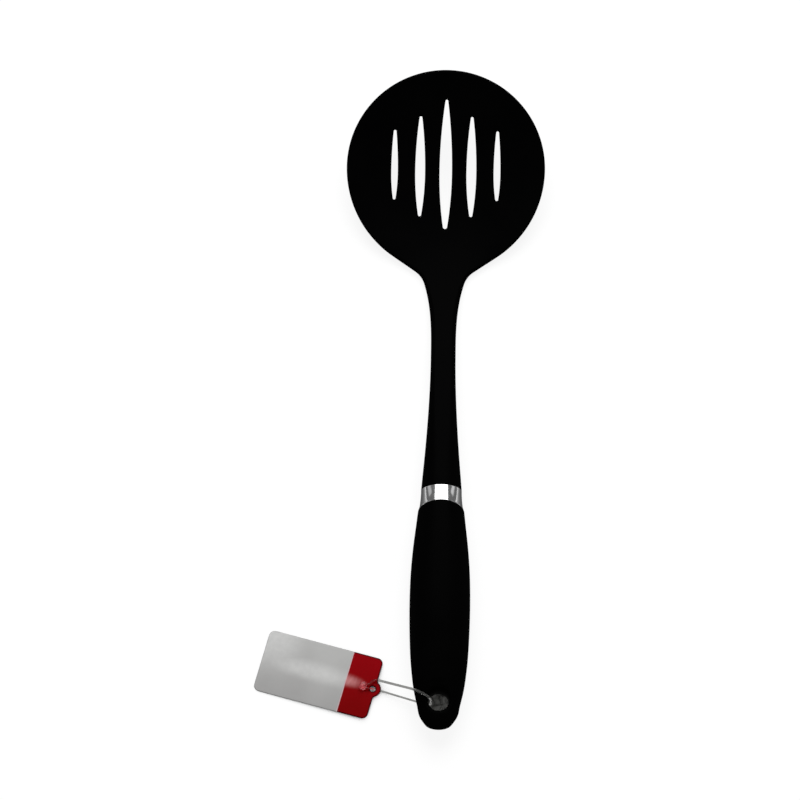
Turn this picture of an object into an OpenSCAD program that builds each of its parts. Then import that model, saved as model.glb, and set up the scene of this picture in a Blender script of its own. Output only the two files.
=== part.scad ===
// Slotted kitchen skimmer: a dished nylon head on a shank, a polished steel ferrule, a soft oval grip
// over a hard core, and a printed swing tag on a thin plastic loop through the hanging hole.
// The handle lies along Y with the head at +Y, and the dish opens upwards.
// The origin is the middle of the footprint, on the surface that the tool lies on.

/* [Head] */
// Radius of the rim across the tool, seen square on
head_r = 51.4; // [42:0.1:60]
// Reach of the rim's tip half from the middle of the head
tip_r = 50.6; // [42:0.1:60]
// Reach of its heel half
heel_r = 53.2; // [44:0.1:62]
// Depth of the dish below its rim
dish_depth = 9; // [6:0.5:13]
// Thickness of the dish
dish_wall = 2.4; // [1.8:0.1:3.4]
// Angle between the rim's plane and the handle
head_tilt = 18; // [10:1:26]
// Angle of the straight flanks to the tool's axis
flank_angle = 56.3; // [48:0.1:62]
// Radius between a flank and the shank
fillet_r = 11.7; // [8:0.1:22]
// Width of the shank's root, where the fillets end
root_w = 20.5; // [16:0.5:28]

/* [Slots] */
// Distance between neighbouring slots
slot_pitch = 13.3; // [11:0.1:15]
// Distance of the widest place of the slots from the middle of the head, towards the heel
slot_set = 2; // [0:0.5:5]
// Width of the middle slot
mid_slot_w = 6.6; // [5:0.1:8]
// Reach of the middle slot towards the tip
mid_slot_tip = 38; // [28:0.1:41]
// Reach of the middle slot towards the heel
mid_slot_heel = 29.2; // [20:0.1:33]
// Width of the two slots beside it
next_slot_w = 5.3; // [4:0.1:7]
// Reach of those two towards the tip
next_slot_tip = 29.2; // [20:0.1:33]
// Reach of those two towards the heel
next_slot_heel = 22.8; // [15:0.1:27]
// Width of the two outer slots
outer_slot_w = 3.7; // [3:0.1:5]
// Reach of the outer slots towards the tip
outer_slot_tip = 21.9; // [14:0.1:25]
// Reach of the outer slots towards the heel
outer_slot_heel = 14.4; // [8:0.1:18]
// Radius of the slots' round ends towards the tip
slot_tip_r = 0.8; // [0.6:0.1:1.4]
// Radius of their ends towards the heel
slot_heel_r = 1.1; // [0.6:0.1:1.4]

/* [Shank] */
// Distance along the tool from the ferrule to the heel, the head's lowest place
shank_l = 128.8; // [100:0.1:160]
// Angle at which the shank climbs away from the heel
heel_rise = 6; // [3:0.5:10]
// Distance from the ferrule to the shank's narrowest place
neck_set = 70.3; // [50:0.1:85]
// Width of the shank there
neck_w = 12.8; // [10:0.1:17]
// Thickness of the shank there
neck_t = 7.4; // [5.5:0.1:10]
// Width of the rounding along the shank's edges there
neck_round = 2.4; // [1.5:0.1:3.5]
// Width of the tang inside the handle
tang_w = 9; // [7:0.5:11]
// Thickness of the tang
tang_t = 6.5; // [5:0.5:8]
// Length of the tang beyond the ferrule
tang_l = 55; // [30:1:75]

/* [Ferrule] */
// Length of the ferrule
ferrule_l = 8.8; // [7:0.1:14]
// Wall of the ferrule
ferrule_wall = 0.8; // [0.5:0.1:1.2]
// Width at the shank
ferrule_neck_w = 20.8; // [17:0.1:22]
// Thickness at the shank
ferrule_neck_t = 16.6; // [14:0.1:18]
// Width at the grip
ferrule_grip_w = 22.5; // [20:0.1:26]
// Thickness at the grip
ferrule_grip_t = 19.5; // [17:0.1:22]

/* [Handle] */
// Length of the grip
grip_l = 119.4; // [100:0.1:140]
// Greatest width of the grip
grip_w = 30.9; // [27:0.1:36]
// Greatest thickness of the grip
grip_t = 24.5; // [21:0.1:28]
// Distance of the hanging hole from the grip's end
hole_set = 14.2; // [13:0.1:18]
// Radius of the hanging hole at its throat
hole_r = 5.05; // [4.5:0.05:5.6]
// Length of the throat
throat_l = 2; // [1:0.5:4]
// Spread of the hole's flared mouths
flare_r = 3.6; // [2:0.2:4.4]
// Width of the core
core_w = 16; // [13:0.5:18]
// Thickness of the core
core_t = 12.5; // [10.5:0.5:14]
// Length of the core
core_l = 89; // [80:1:94]
// Radius of the core's long edges
core_edge_r = 3; // [1.5:0.5:4]

/* [Tag] */
// Length of the swing tag, without its ear
tag_l = 60.1; // [45:0.1:75]
// Width of the swing tag
tag_w = 33.1; // [25:0.1:40]
// Thickness of the swing tag
tag_t = 0.5; // [0.3:0.05:0.8]
// Radius of the tag's corners
tag_corner_r = 2.6; // [1:0.2:5]
// Radius of the ear round the tag's hole
ear_r = 4.2; // [3.5:0.1:5.5]
// Radius where the ear runs into the tag's edge
ear_fillet_r = 2; // [1:0.2:3]
// Diameter of the tag's hole
tag_hole_d = 2.9; // [2.6:0.1:3.6]
// Distance of that hole's middle from the tag's straight edge
tag_hole_inset = 1.3; // [1:0.1:3]
// Angle of the tag's long side to the tool's cross direction
tag_angle = 165; // [150:0.2:175]

/* [Loop] */
// Distance from the hanging hole to the tag's hole
loop_reach = 34.9; // [32:0.1:45]
// Angle at which the loop lies
loop_angle = 163.8; // [150:0.1:175]
// Diameter of the loop's string
string_d = 0.9; // [0.7:0.05:1]
// Distance of the lock head from the tag's hole
lock_set = 5.2; // [4.8:0.1:8]
// Length of the lock head
lock_l = 3.6; // [3:0.1:4]
// Width of the lock head
lock_w = 4.2; // [3.5:0.1:5]
// Height of the lock head
lock_h = 2; // [1.6:0.1:2.4]

/* [Hidden] */
$fn = 64;
// Clearance of pieces that are moulded or pressed round each other
fit_gap = 0.05;
// Clearance of the loop and the tag, which move
loose_gap = 0.3;
// Overrun of a cut past the faces that it opens
cut_over = 1;

// The dish is part of a sphere. Its heel side runs on down the axis until it climbs at heel_rise.
dish_r = (head_r * head_r + dish_depth * dish_depth) / (2 * dish_depth);
rim_angle = asin(tip_r / dish_r);
arc_l = dish_r * (head_tilt + heel_rise) * PI / 180;

// Places along the tool, from the grip's end
tip_angle = head_tilt + rim_angle - asin(dish_wall / 2 / dish_r);
head_reach = (dish_r + dish_wall / 2) * sin(tip_angle) + dish_wall / 2;
tool_l = grip_l + ferrule_l + shank_l + head_reach;
end_y = -tool_l / 2;
core_y = end_y + grip_l;
neck_y = core_y + ferrule_l;
heel_y = neck_y + shank_l;
arc_end_y = heel_y - dish_r * sin(heel_rise);
neck_s = arc_l + arc_end_y - neck_y - neck_set;
ferrule_s = arc_l + arc_end_y - neck_y;

// How far the thick back of the shank runs out under the dish, and where the dish's cross curve fades
rib_start_share = 0.55;
fade_start_share = 0.72;
fade_end_share = 1.25;
rib_s = head_r * rib_start_share;
fade_s0 = head_r * fade_start_share;
fade_s1 = head_r * fade_end_share;
// The rounding of the shank's end, the ferrule and the grip takes this share of their half width
oval_share = 0.9;
// How the shank widens and thickens towards the ferrule
flare_power = 1.67;

function clamp01(t) = max(0, min(1, t));
function smooth(t) = let (c = clamp01(t)) c * c * (3 - 2 * c);
function mix(a, b, t) = a + (b - a) * t;

// A cubic from value a with slope da to value b with slope db, over the length l
function hermite(a, da, b, db, l, t) =
    a * (2 * t * t * t - 3 * t * t + 1)
    + l * da * (t * t * t - 2 * t * t + t)
    + b * (3 * t * t - 2 * t * t * t)
    + l * db * (t * t * t - t * t);
function hermite_slope(a, da, b, db, l, t) =
    (a - b) * (6 * t * t - 6 * t) / l
    + da * (3 * t * t - 4 * t + 1)
    + db * (3 * t * t - 2 * t);

// Thickness of the head moulding on its axis, at the distance s from the head's middle
function axis_t(s) =
    s < neck_s
        ? mix(dish_wall, neck_t, smooth((s - rib_s) / (neck_s - rib_s)))
        : mix(neck_t, ferrule_neck_t, pow(clamp01((s - neck_s) / neck_set), flare_power));
// How far the front face stands above the spine there
function axis_top(s) = axis_t(s) / 2 * smooth((s - fade_s0) / (neck_s - fade_s0));

// The spine runs from the tip, along the dish and the shank, to the ferrule: [y, z, slope angle]
heel_steps = 48;
heel_drop = max([
    for (i = [0 : heel_steps])
        let (s = arc_l * i / heel_steps, a = head_tilt - s / dish_r * 180 / PI)
            (axis_t(s) - axis_top(s)) * cos(a) - dish_r * (1 - cos(a))
]);
sphere_z = heel_drop + dish_r;
grip_rows = 15;
// Rows from the grip's end to the ferrule: place along it, width and thickness
grip_shares = [
    [0, 0.12, 0.1],
    [0.008, 0.33, 0.24],
    [0.025, 0.47, 0.33],
    [0.06, 0.634, 0.43],
    [0.105, 0.71, 0.505],
    [0.17, 0.82, 0.585],
    [0.24, 0.895, 0.7],
    [0.33, 0.955, 0.84],
    [0.45, 0.99, 0.965],
    [0.57, 1, 1],
    [0.69, 0.977, 0.985],
    [0.8, 0.915, 0.945],
    [0.91, 0.82, 0.88],
    [0.975, 0.762, 0.83],
    [1, ferrule_grip_w / grip_w, ferrule_grip_t / grip_t]
];
row_steps = 3;
function row_at(i) = grip_shares[max(0, min(grip_rows - 1, i))];
function row_between(i, t) =
    let (a = row_at(i - 1), b = row_at(i), c = row_at(i + 1), d = row_at(i + 2))
        [for (k = [0 : 2]) hermite(b[k], (c[k] - a[k]) / 2, c[k], (d[k] - b[k]) / 2, 1, t)];
grip_curve = concat(
    [for (i = [0 : grip_rows - 2], j = [0 : row_steps - 1]) row_between(i, j / row_steps)],
    [row_at(grip_rows - 1)]
);
axis_z = grip_t / 2 * max([for (r = grip_curve) r[2]]);
arc_end_z = sphere_z - dish_r * cos(heel_rise);
climb_l = arc_end_y - neck_y;
function spine(s) =
    s <= arc_l
        ? let (a = head_tilt - s / dish_r * 180 / PI)
            [heel_y + dish_r * sin(a), sphere_z - dish_r * cos(a), a]
        : let (t = (s - arc_l) / climb_l)
            [
                arc_end_y - climb_l * t,
                hermite(arc_end_z, tan(heel_rise), axis_z, 0, climb_l, t),
                -atan(hermite_slope(arc_end_z, tan(heel_rise), axis_z, 0, climb_l, t))
            ];

// The front and back of the moulding at the place s, u, as heights above the spine
function cross_rise(s, u) = smooth((fade_s1 - s) / (fade_s1 - fade_s0)) * (dish_r - sqrt(dish_r * dish_r - u * u));
function rib_width(s) = mix(root_w / 2, 3 * root_w, smooth((s - rib_s) / (neck_s - rib_s)));
function rib_share(x) = let (c = clamp01(1 - x * x)) c * c;
function wall_at(s, u) = dish_wall + (axis_t(s) - dish_wall) * rib_share(u / rib_width(s));
function front_h(s, u) = cross_rise(s, u) + axis_top(s);
function back_h(s, u) = front_h(s, u) - wall_at(s, u);
function placed(s, u, h) = let (c = spine(s)) [u, c[0] - h * sin(c[2]), c[1] + h * cos(c[2])];

// The outline of the head's right half as [q, u]: q from the middle towards the heel, u to the side
heel_end = atan(tan(flank_angle) * heel_r / head_r);
root_angle = 16;
flank_l = (head_r * cos(heel_end) - fillet_r * (cos(root_angle) - cos(flank_angle)) - root_w / 2) / sin(flank_angle);
flank_q = heel_r * sin(heel_end) + flank_l * cos(flank_angle);
root_q = flank_q + fillet_r * (sin(flank_angle) - sin(root_angle));
tip_steps = 15;
side_steps = 9;
fillet_steps = 6;
outline = concat(
    [for (i = [0 : tip_steps]) let (a = 90 * i / tip_steps) [-tip_r * cos(a), head_r * sin(a)]],
    [for (i = [1 : side_steps]) let (a = heel_end * i / side_steps) [heel_r * sin(a), head_r * cos(a)]],
    [[
        (heel_r * sin(heel_end) + flank_q) / 2,
        head_r * cos(heel_end) - flank_l / 2 * sin(flank_angle)
    ]],
    [
        for (i = [0 : fillet_steps])
            let (a = mix(flank_angle, root_angle, i / fillet_steps))
                [
                    root_q - fillet_r * (sin(a) - sin(root_angle)),
                    root_w / 2 + fillet_r * (cos(root_angle) - cos(a))
                ]
    ]
);
function round_s(p) = dish_r * asin(p[0] / sqrt(dish_r * dish_r - p[1] * p[1])) * PI / 180;
root_s = round_s([root_q, root_w / 2]);
taper_steps = 7;
shank_steps = 9;
edge = concat(
    [for (p = outline) [round_s(p), p[1]]],
    [
        for (i = [1 : taper_steps])
            let (t = i / taper_steps)
                [
                    mix(root_s, neck_s, t),
                    hermite(root_w / 2, -tan(root_angle), neck_w / 2, 0, neck_s - root_s, t)
                ]
    ],
    [
        for (i = [1 : shank_steps])
            let (t = i / shank_steps)
                [
                    mix(neck_s, ferrule_s, t),
                    mix(neck_w, ferrule_neck_w, pow(t, flare_power)) / 2
                ]
    ]
);
edge_count = len(edge);
function edge_normal(i) =
    i == 0 ? [-1, 0]
    : i == edge_count - 1 ? [0, 1]
    : let (d = edge[i + 1] - edge[i - 1]) [-d[1], d[0]] / norm(d);

// Each rib starts on the axis, runs out over the front, round the rim and back under the moulding
rib_foot_share = 0.55;
function foot_s(s) = s * mix(rib_foot_share, 1, smooth((s - rib_s / 2) / (neck_s - root_w - rib_s / 2)));
function rim_width(s, u) =
    s < neck_s
        ? mix(wall_at(s, u) / 2, neck_round, smooth((s - fade_s0) / (neck_s - fade_s0)))
        : mix(neck_round, oval_share * u, smooth((s - neck_s) / neck_set));
front_steps = 4;
rim_steps = 10;
function rib_points(i) =
    let (
        p = edge[i],
        n = edge_normal(i),
        e = rim_width(p[0], p[1]),
        inner = p - n * e,
        foot = [foot_s(p[0]), 0],
        half = wall_at(inner[0], inner[1]) / 2,
        front = [for (k = [0 : front_steps]) foot + (inner - foot) * sin(90 * k / front_steps)]
    )
    concat(
        [for (f = front) placed(f[0], f[1], front_h(f[0], f[1]))],
        [
            for (k = [1 : rim_steps - 1])
                let (
                    a = 180 * k / rim_steps,
                    r = inner + n * e * sin(a),
                    middle = (front_h(r[0], r[1]) + back_h(r[0], r[1])) / 2
                )
                placed(r[0], r[1], middle + half * cos(a))
        ],
        [for (k = [front_steps : -1 : 0]) let (f = front[k]) placed(f[0], f[1], back_h(f[0], f[1]))]
    );
function mirrored(p) = [-p[0], p[1], p[2]];
function closed_ring(half_ring) =
    concat(half_ring, [for (k = [len(half_ring) - 2 : -1 : 1]) mirrored(half_ring[k])]);

// An oval across the tool at the place y, of the half width w and the half thickness t
function oval(w, t, y, steps) =
    let (e = w * oval_share)
        concat(
            [for (k = [0 : steps]) let (a = 180 * k / steps) [w - e + e * sin(a), y, axis_z + t * cos(a)]],
            [for (k = [0 : steps]) let (a = 180 + 180 * k / steps) [e - w + e * sin(a), y, axis_z + t * cos(a)]]
        );

// Skins a list of rings, all with the same number of points. A ring folded flat needs no cap.
module skin(rings, fold_last = false) {
    n = len(rings[0]);
    last = len(rings) - 1;
    function at(i, j) = let (k = j % n) n * i + (fold_last && i == last && k > n / 2 ? n - k : k);
    sides = [
        for (i = [0 : last - 1], j = [0 : n - 1], f = [0, 1])
            f == 0
                ? [at(i, j), at(i + 1, j + 1), at(i, j + 1)]
                : [at(i, j), at(i + 1, j), at(i + 1, j + 1)]
    ];
    side = round(n / 4);
    near = [[for (j = [0 : n - 1]) at(0, side + j)]];
    far = fold_last ? [] : [[for (j = [n - 1 : -1 : 0]) at(last, side + j)]];
    polyhedron([for (r = rings) each r], concat(sides, near, far));
}

// A rounded bar along the tool, from y0 to y1
module bar(w, t, r, y0, y1) {
    translate([0, y1, axis_z])
        rotate([90, 0, 0])
            linear_extrude(y1 - y0) {
                square([w - 2 * r, t], center = true);
                square([w, t - 2 * r], center = true);
                for (x = [-1, 1], y = [-1, 1])
                    translate([x * (w / 2 - r), y * (t / 2 - r)])
                        circle(r);
            }
}

// A slot's outline: widest at the origin, with one long arc on each side of each end
slot_steps = 8;
function slot_arc_r(w, reach, end_r) =
    (w * w / 4 + pow(reach - end_r, 2) - end_r * end_r) / (w - 2 * end_r);
function slot_quarter(w, reach, end_r) =
    let (
        r = slot_arc_r(w, reach, end_r),
        stop = asin((reach - end_r) / (r - end_r))
    )
    concat(
        [for (i = [0 : slot_steps]) let (a = stop * i / slot_steps) [w / 2 - r + r * cos(a), r * sin(a)]],
        [
            for (i = [1 : slot_steps / 2])
                let (a = mix(stop, 90, 2 * i / slot_steps))
                    [end_r * cos(a), reach - end_r + end_r * sin(a)]
        ]
    );
function backwards(l) = [for (i = [len(l) - 1 : -1 : 0]) l[i]];
module slot(x, w, tip, heel) {
    up = slot_quarter(w, tip, slot_tip_r);
    down = slot_quarter(w, heel, slot_heel_r);
    n_up = len(up);
    n_down = len(down);
    translate([x, -slot_set])
        polygon(concat(
            up,
            [for (i = [n_up - 2 : -1 : 0]) [-up[i][0], up[i][1]]],
            [for (i = [1 : n_down - 1]) [-down[i][0], -down[i][1]]],
            [for (i = [n_down - 2 : -1 : 1]) [down[i][0], -down[i][1]]]
        ));
}

module skimmer_head() {
    seat_gap = ferrule_wall + fit_gap;
    shank_rings = [for (i = [edge_count - 1 : -1 : 0]) closed_ring(rib_points(i))];
    color([0.03, 0.03, 0.03])
        difference() {
            union() {
                skin(shank_rings, fold_last = true);
                skin([
                    for (y = concat(ferrule_rows, [neck_y + fit_gap]))
                        let (f = ferrule_half(y))
                            oval(f[0] - seat_gap, f[1] - seat_gap, y, rim_steps)
                ]);
                bar(tang_w, tang_t, tang_edge_r, core_y - tang_l, core_y + ferrule_l / 2);
            }
            translate([0, heel_y, sphere_z])
                rotate([head_tilt, 0, 0])
                    translate([0, 0, -dish_r - dish_depth])
                        linear_extrude(3 * dish_depth) {
                            slot(0, mid_slot_w, mid_slot_tip, mid_slot_heel);
                            for (side = [-1, 1]) {
                                slot(side * slot_pitch, next_slot_w, next_slot_tip, next_slot_heel);
                                slot(2 * side * slot_pitch, outer_slot_w, outer_slot_tip, outer_slot_heel);
                            }
                        }
        }
}

// The ferrule keeps the shank's width at first and flares out to meet the grip
tang_edge_r = tang_t / 4;
ferrule_steps = 6;
function ferrule_half(y) =
    let (t = pow(clamp01((neck_y - y) / ferrule_l), 2))
        [mix(ferrule_neck_w, ferrule_grip_w, t) / 2, mix(ferrule_neck_t, ferrule_grip_t, t) / 2];
ferrule_rows = [for (i = [0 : ferrule_steps]) mix(core_y, neck_y, i / ferrule_steps)];
oval_steps = 16;
module ferrule() {
    color([0.78, 0.78, 0.8])
        difference() {
            skin([for (y = ferrule_rows) let (f = ferrule_half(y)) oval(f[0], f[1], y, oval_steps)]);
            skin([
                for (y = concat([core_y - cut_over], ferrule_rows, [neck_y + cut_over]))
                    let (f = ferrule_half(y))
                        oval(f[0] - ferrule_wall, f[1] - ferrule_wall, y, oval_steps)
            ]);
        }
}

module handle_core() {
    color([0.12, 0.12, 0.13])
        difference() {
            bar(core_w, core_t, core_edge_r, core_y - core_l, core_y);
            bar(
                tang_w + 2 * fit_gap,
                tang_t + 2 * fit_gap,
                tang_edge_r + fit_gap,
                core_y - tang_l - fit_gap,
                core_y + cut_over
            );
        }
}

hole_y = end_y + hole_set;
flare_l = grip_t / 4;
flare_steps = 10;
module grip() {
    color([0.05, 0.05, 0.05])
        difference() {
            skin([
                for (r = grip_curve)
                    oval(r[1] * grip_w / 2, r[2] * grip_t / 2, end_y + r[0] * grip_l, oval_steps)
            ]);
            bar(
                core_w + 2 * fit_gap,
                core_t + 2 * fit_gap,
                core_edge_r + fit_gap,
                core_y - core_l - fit_gap,
                core_y + cut_over
            );
            translate([0, hole_y, axis_z])
                cylinder(h = 2 * grip_t, r = hole_r, center = true);
            for (side = [0, 180])
                translate([0, hole_y, axis_z])
                    rotate([side, 0, 0])
                        rotate_extrude()
                            polygon(concat(
                                [[0, 0], [hole_r, 0]],
                                [
                                    for (i = [0 : flare_steps])
                                        let (a = 90 * i / flare_steps)
                                            [
                                                hole_r + flare_r * (1 - cos(a)),
                                                throat_l / 2 + flare_l * sin(a)
                                            ]
                                ],
                                [[hole_r + flare_r, grip_t], [0, grip_t]]
                            ));
        }
}

// The tag lies with its far end on the surface and its ear raised on the string that passes under it
tag_z = string_d + 2 * loose_gap + tag_t / 2;
far_l = tag_l - tag_hole_inset;
tag_lean = asin(tag_z / norm([far_l, tag_t / 2])) - atan(tag_t / 2 / far_l);
tag_at = [loop_reach * cos(loop_angle), hole_y + loop_reach * sin(loop_angle), tag_z];
function arc(centre, r, a0, a1, steps) =
    [for (i = [0 : steps]) let (a = mix(a0, a1, i / steps)) centre + r * [cos(a), sin(a)]];
corner_steps = 5;
ear_steps = 12;
tag_side = tag_w / 2 - tag_corner_r;
ear_side = sqrt(pow(ear_r + ear_fillet_r, 2) - pow(tag_hole_inset + ear_fillet_r, 2));
ear_turn = atan(ear_side / (tag_hole_inset + ear_fillet_r));
tag_outline = concat(
    arc([far_l - tag_corner_r, tag_side], tag_corner_r, 0, 90, corner_steps),
    arc([tag_corner_r - tag_hole_inset, tag_side], tag_corner_r, 90, 180, corner_steps),
    arc([-tag_hole_inset - ear_fillet_r, ear_side], ear_fillet_r, 0, -ear_turn, corner_steps),
    arc([0, 0], ear_r, 180 - ear_turn, 180 + ear_turn, ear_steps),
    arc([-tag_hole_inset - ear_fillet_r, -ear_side], ear_fillet_r, ear_turn, 0, corner_steps),
    arc([tag_corner_r - tag_hole_inset, -tag_side], tag_corner_r, 180, 270, corner_steps),
    arc([far_l - tag_corner_r, -tag_side], tag_corner_r, 270, 360, corner_steps)
);
module swing_tag() {
    color([0.62, 0.62, 0.64])
        translate(tag_at)
            rotate([0, tag_lean, tag_angle])
                difference() {
                    translate([0, 0, -tag_t / 2])
                        linear_extrude(tag_t)
                            polygon(tag_outline);
                    cylinder(h = tag_t + 2 * cut_over, d = tag_hole_d, center = true);
                }
}

// The loop's route, seen from the hanging hole with the tag ahead: [ahead, to the left, height].
// It leaves the lock, climbs over the front of the grip, drops through the hole, comes back behind
// the grip, and passes under the tag and up through its hole to the lock.
hang_share = hole_set / grip_l;
hang_w = grip_w / 2 * lookup(hang_share, [for (r = grip_curve) [r[0], r[1]]]);
hang_t = grip_t / 2 * lookup(hang_share, [for (r = grip_curve) [r[0], r[2]]]);
// Round the lip: share of the way from the hole's wall to the grip's side, and height as a share of
// the grip's half thickness
wall_share = 1.25;
lip_shares = [
    [1.62, 0.34],
    [1.33, 0.65],
    [1.05, 0.85],
    [0.71, 1.02],
    [0.38, 1.08],
    [0.13, 0.94],
    [0, 0.57],
    [0, 0]
];
slant_share = 2.2;
bore_u = hole_r - string_d * wall_share;
function lip_point(p, side) = [mix(bore_u, hang_w, p[0]), side, axis_z + hang_t * p[1]];
lip_route = [for (p = lip_shares) lip_point(p, string_d * (1 - slant_share * p[0]))];
back_route = [for (i = [6 : -1 : 4]) let (p = lip_shares[i]) lip_point([p[0], -p[1]], string_d)];
lock_u = loop_reach + lock_set;
lock_face = lock_u - lock_l / 2;
over_z = tag_z + tag_t / 2 + loose_gap + string_d;
under_z = loose_gap + string_d / 2;
// By the tag, from the tag's hole: ahead and to the left in string diameters, and height as a share
// of the climb from under the tag to the lock
over_shares = [[1.2, -4, 1], [-1, -5.3, 1], [-3.5, -5.5, 1]];
under_shares = [
    [-4.6, -0.6, 0],
    [-2.7, -0.3, 0],
    [-1.2, -0.1, 0.05],
    [0, 0, 0.41],
    [1.2, 0.3, 0.79]
];
function tag_point(p) =
    [loop_reach + string_d * p[0], string_d * p[1], mix(under_z, over_z, p[2])];
// Both ends meet the lock's face squarely, a hair short of it
lock_side_shares = [-0.33, 0.2];
function lock_end(i, run) =
    [lock_face - fit_gap - run, lock_w * lock_side_shares[i], over_z];
over_tag = concat(
    [lock_end(0, 0), lock_end(0, string_d)],
    [for (p = over_shares) tag_point(p)]
);
under_tag = concat(
    [for (p = under_shares) tag_point(p)],
    [lock_end(1, string_d), lock_end(1, 0)]
);
function between(a, b, shares) = [for (t = shares) mix(a, b, t)];
front_shares = [0.75, 0.5, 0.25];
behind_shares = [0.25, 0.5, 0.75];
route = concat(
    over_tag,
    between(lip_route[0], over_tag[len(over_tag) - 1], front_shares),
    lip_route,
    back_route,
    between(back_route[2], under_tag[0], behind_shares),
    under_tag
);
route_last = len(route) - 1;
function route_dir(i) = (route[min(route_last, i + 1)] - route[max(0, i - 1)]) / 2;
function route_between(i, t) =
    let (l = norm(route[i + 1] - route[i]))
        [
            for (k = [0 : 2])
                hermite(
                    route[i][k],
                    route_slope(i)[k],
                    route[i + 1][k],
                    route_slope(i + 1)[k],
                    l,
                    t
                )
        ];
function route_slope(i) = let (d = route_dir(i)) d / norm(d);
ring_pitch = string_d * 2.4;
centreline = concat(
    [
        for (i = [0 : route_last - 1])
            let (steps = max(1, round(norm(route[i + 1] - route[i]) / ring_pitch)))
                for (j = [0 : steps - 1])
                    route_between(i, j / steps)
    ],
    [route[route_last]]
);
string_sides = 8;
function string_ring(i) =
    let (
        d = centreline[min(len(centreline) - 1, i + 1)] - centreline[max(0, i - 1)],
        a = cross(d, [0, 1, 0]) / norm(cross(d, [0, 1, 0])),
        b = cross(d, a) / norm(d)
    )
    [
        for (k = [0 : string_sides - 1])
            let (t = 360 * k / string_sides)
                centreline[i] + string_d / 2 * (a * cos(t) + b * sin(t))
    ];
module tag_loop() {
    color([0.55, 0.55, 0.57])
        translate([0, hole_y, 0])
            rotate([0, 0, loop_angle])
                skin([for (i = [0 : len(centreline) - 1]) string_ring(i)]);
}

lock_edge_r = lock_l / 6;
module loop_lock() {
    color([0.75, 0.72, 0.72])
        translate([0, hole_y, 0])
            rotate([0, 0, loop_angle])
                translate([lock_u, 0, over_z - lock_h / 2])
                    linear_extrude(lock_h) {
                        square([lock_l - 2 * lock_edge_r, lock_w], center = true);
                        square([lock_l, lock_w - 2 * lock_edge_r], center = true);
                        for (x = [-1, 1], y = [-1, 1])
                            translate([x * (lock_l / 2 - lock_edge_r), y * (lock_w / 2 - lock_edge_r)])
                                circle(lock_edge_r);
                    }
}

skimmer_head();
ferrule();
handle_core();
grip();
swing_tag();
tag_loop();
loop_lock();
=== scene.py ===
import math

import bmesh
import bpy
import numpy as np
from mathutils import Matrix, Vector
from mathutils.geometry import delaunay_2d_cdt


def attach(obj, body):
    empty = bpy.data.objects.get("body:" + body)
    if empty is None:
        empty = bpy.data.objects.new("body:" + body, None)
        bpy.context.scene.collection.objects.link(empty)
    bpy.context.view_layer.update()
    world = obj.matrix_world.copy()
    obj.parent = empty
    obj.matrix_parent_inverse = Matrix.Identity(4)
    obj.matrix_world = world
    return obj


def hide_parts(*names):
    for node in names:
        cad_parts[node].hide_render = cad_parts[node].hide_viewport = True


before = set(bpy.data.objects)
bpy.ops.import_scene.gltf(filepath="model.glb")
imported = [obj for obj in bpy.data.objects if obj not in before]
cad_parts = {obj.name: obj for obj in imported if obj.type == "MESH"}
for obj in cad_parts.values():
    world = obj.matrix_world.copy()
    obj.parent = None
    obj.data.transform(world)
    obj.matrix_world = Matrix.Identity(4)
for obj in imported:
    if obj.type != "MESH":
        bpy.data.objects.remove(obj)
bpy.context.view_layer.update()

scene = bpy.context.scene
scene.view_settings.view_transform = "Standard"
MM = 0.001

# Camera
# The picture is taken from far off with a long lens, from the handle's end and high above the
# table. The camera is turned a little, so that the tool leans to the right as it does there.
LOOK_AT = Vector((-21.92, 1.03, 12.0)) * MM
CAMERA_DISTANCE = 4.0
CAMERA_RISE = math.radians(71.124)
CAMERA_ROLL = math.radians(0.8926)
CAMERA_LENS = 350.22

camera_data = bpy.data.cameras.new("camera")
camera_data.lens = CAMERA_LENS
camera_data.sensor_width = 36.0
camera_data.clip_start, camera_data.clip_end = 0.1, 50.0
camera = bpy.data.objects.new("camera", camera_data)
scene.collection.objects.link(camera)
camera_back = Vector((0.0, -math.cos(CAMERA_RISE), math.sin(CAMERA_RISE)))
level_right = Vector((1.0, 0.0, 0.0))
level_up = level_right.cross(-camera_back)
camera_right = level_right * math.cos(CAMERA_ROLL) + level_up * math.sin(CAMERA_ROLL)
camera_up = level_up * math.cos(CAMERA_ROLL) - level_right * math.sin(CAMERA_ROLL)
camera.matrix_world = (
    Matrix.Translation(LOOK_AT + camera_back * CAMERA_DISTANCE)
    @ Matrix((camera_right, camera_up, camera_back)).transposed().to_4x4()
)
scene.camera = camera

# Head and shank
# One injection moulding in black glass-filled nylon: a dished round head with five lens-shaped
# slots, a waisted shank with rounded edges, and the tang that goes into the handle. The dish is
# part of a sphere, tilted up from the shank, and the shank's thick back runs out under it.
HEAD_R, TIP_R, HEEL_R = 51.4, 50.6, 53.2
DISH_DEPTH, DISH_WALL = 9.0, 2.4
HEAD_TILT, HEEL_RISE = math.radians(18.0), math.radians(6.0)
FLANK_ANGLE, ROOT_ANGLE = math.radians(56.3), math.radians(16.0)
FILLET_R, ROOT_W = 11.7, 20.5
SHANK_L, NECK_SET, NECK_W, NECK_T, NECK_ROUND = 128.8, 70.3, 12.8, 7.4, 2.4
FERRULE_L, FERRULE_WALL, FIT_GAP = 8.8, 0.8, 0.05
FERRULE_NECK_W, FERRULE_NECK_T = 20.8, 16.6
FERRULE_GRIP_W, FERRULE_GRIP_T = 22.5, 19.5
NECK_ARCH, FERRULE_ARCH = 0.75, 2.3
OVAL_SHARE, FLARE_POWER = 0.9, 1.67
NECK_Y, AXIS_Z, SPHERE_Z = -46.8734, 12.25, 154.534
TANG_W, TANG_T, TANG_L, TANG_CHAMFER = 9.0, 6.5, 55.0, 1.0
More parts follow.
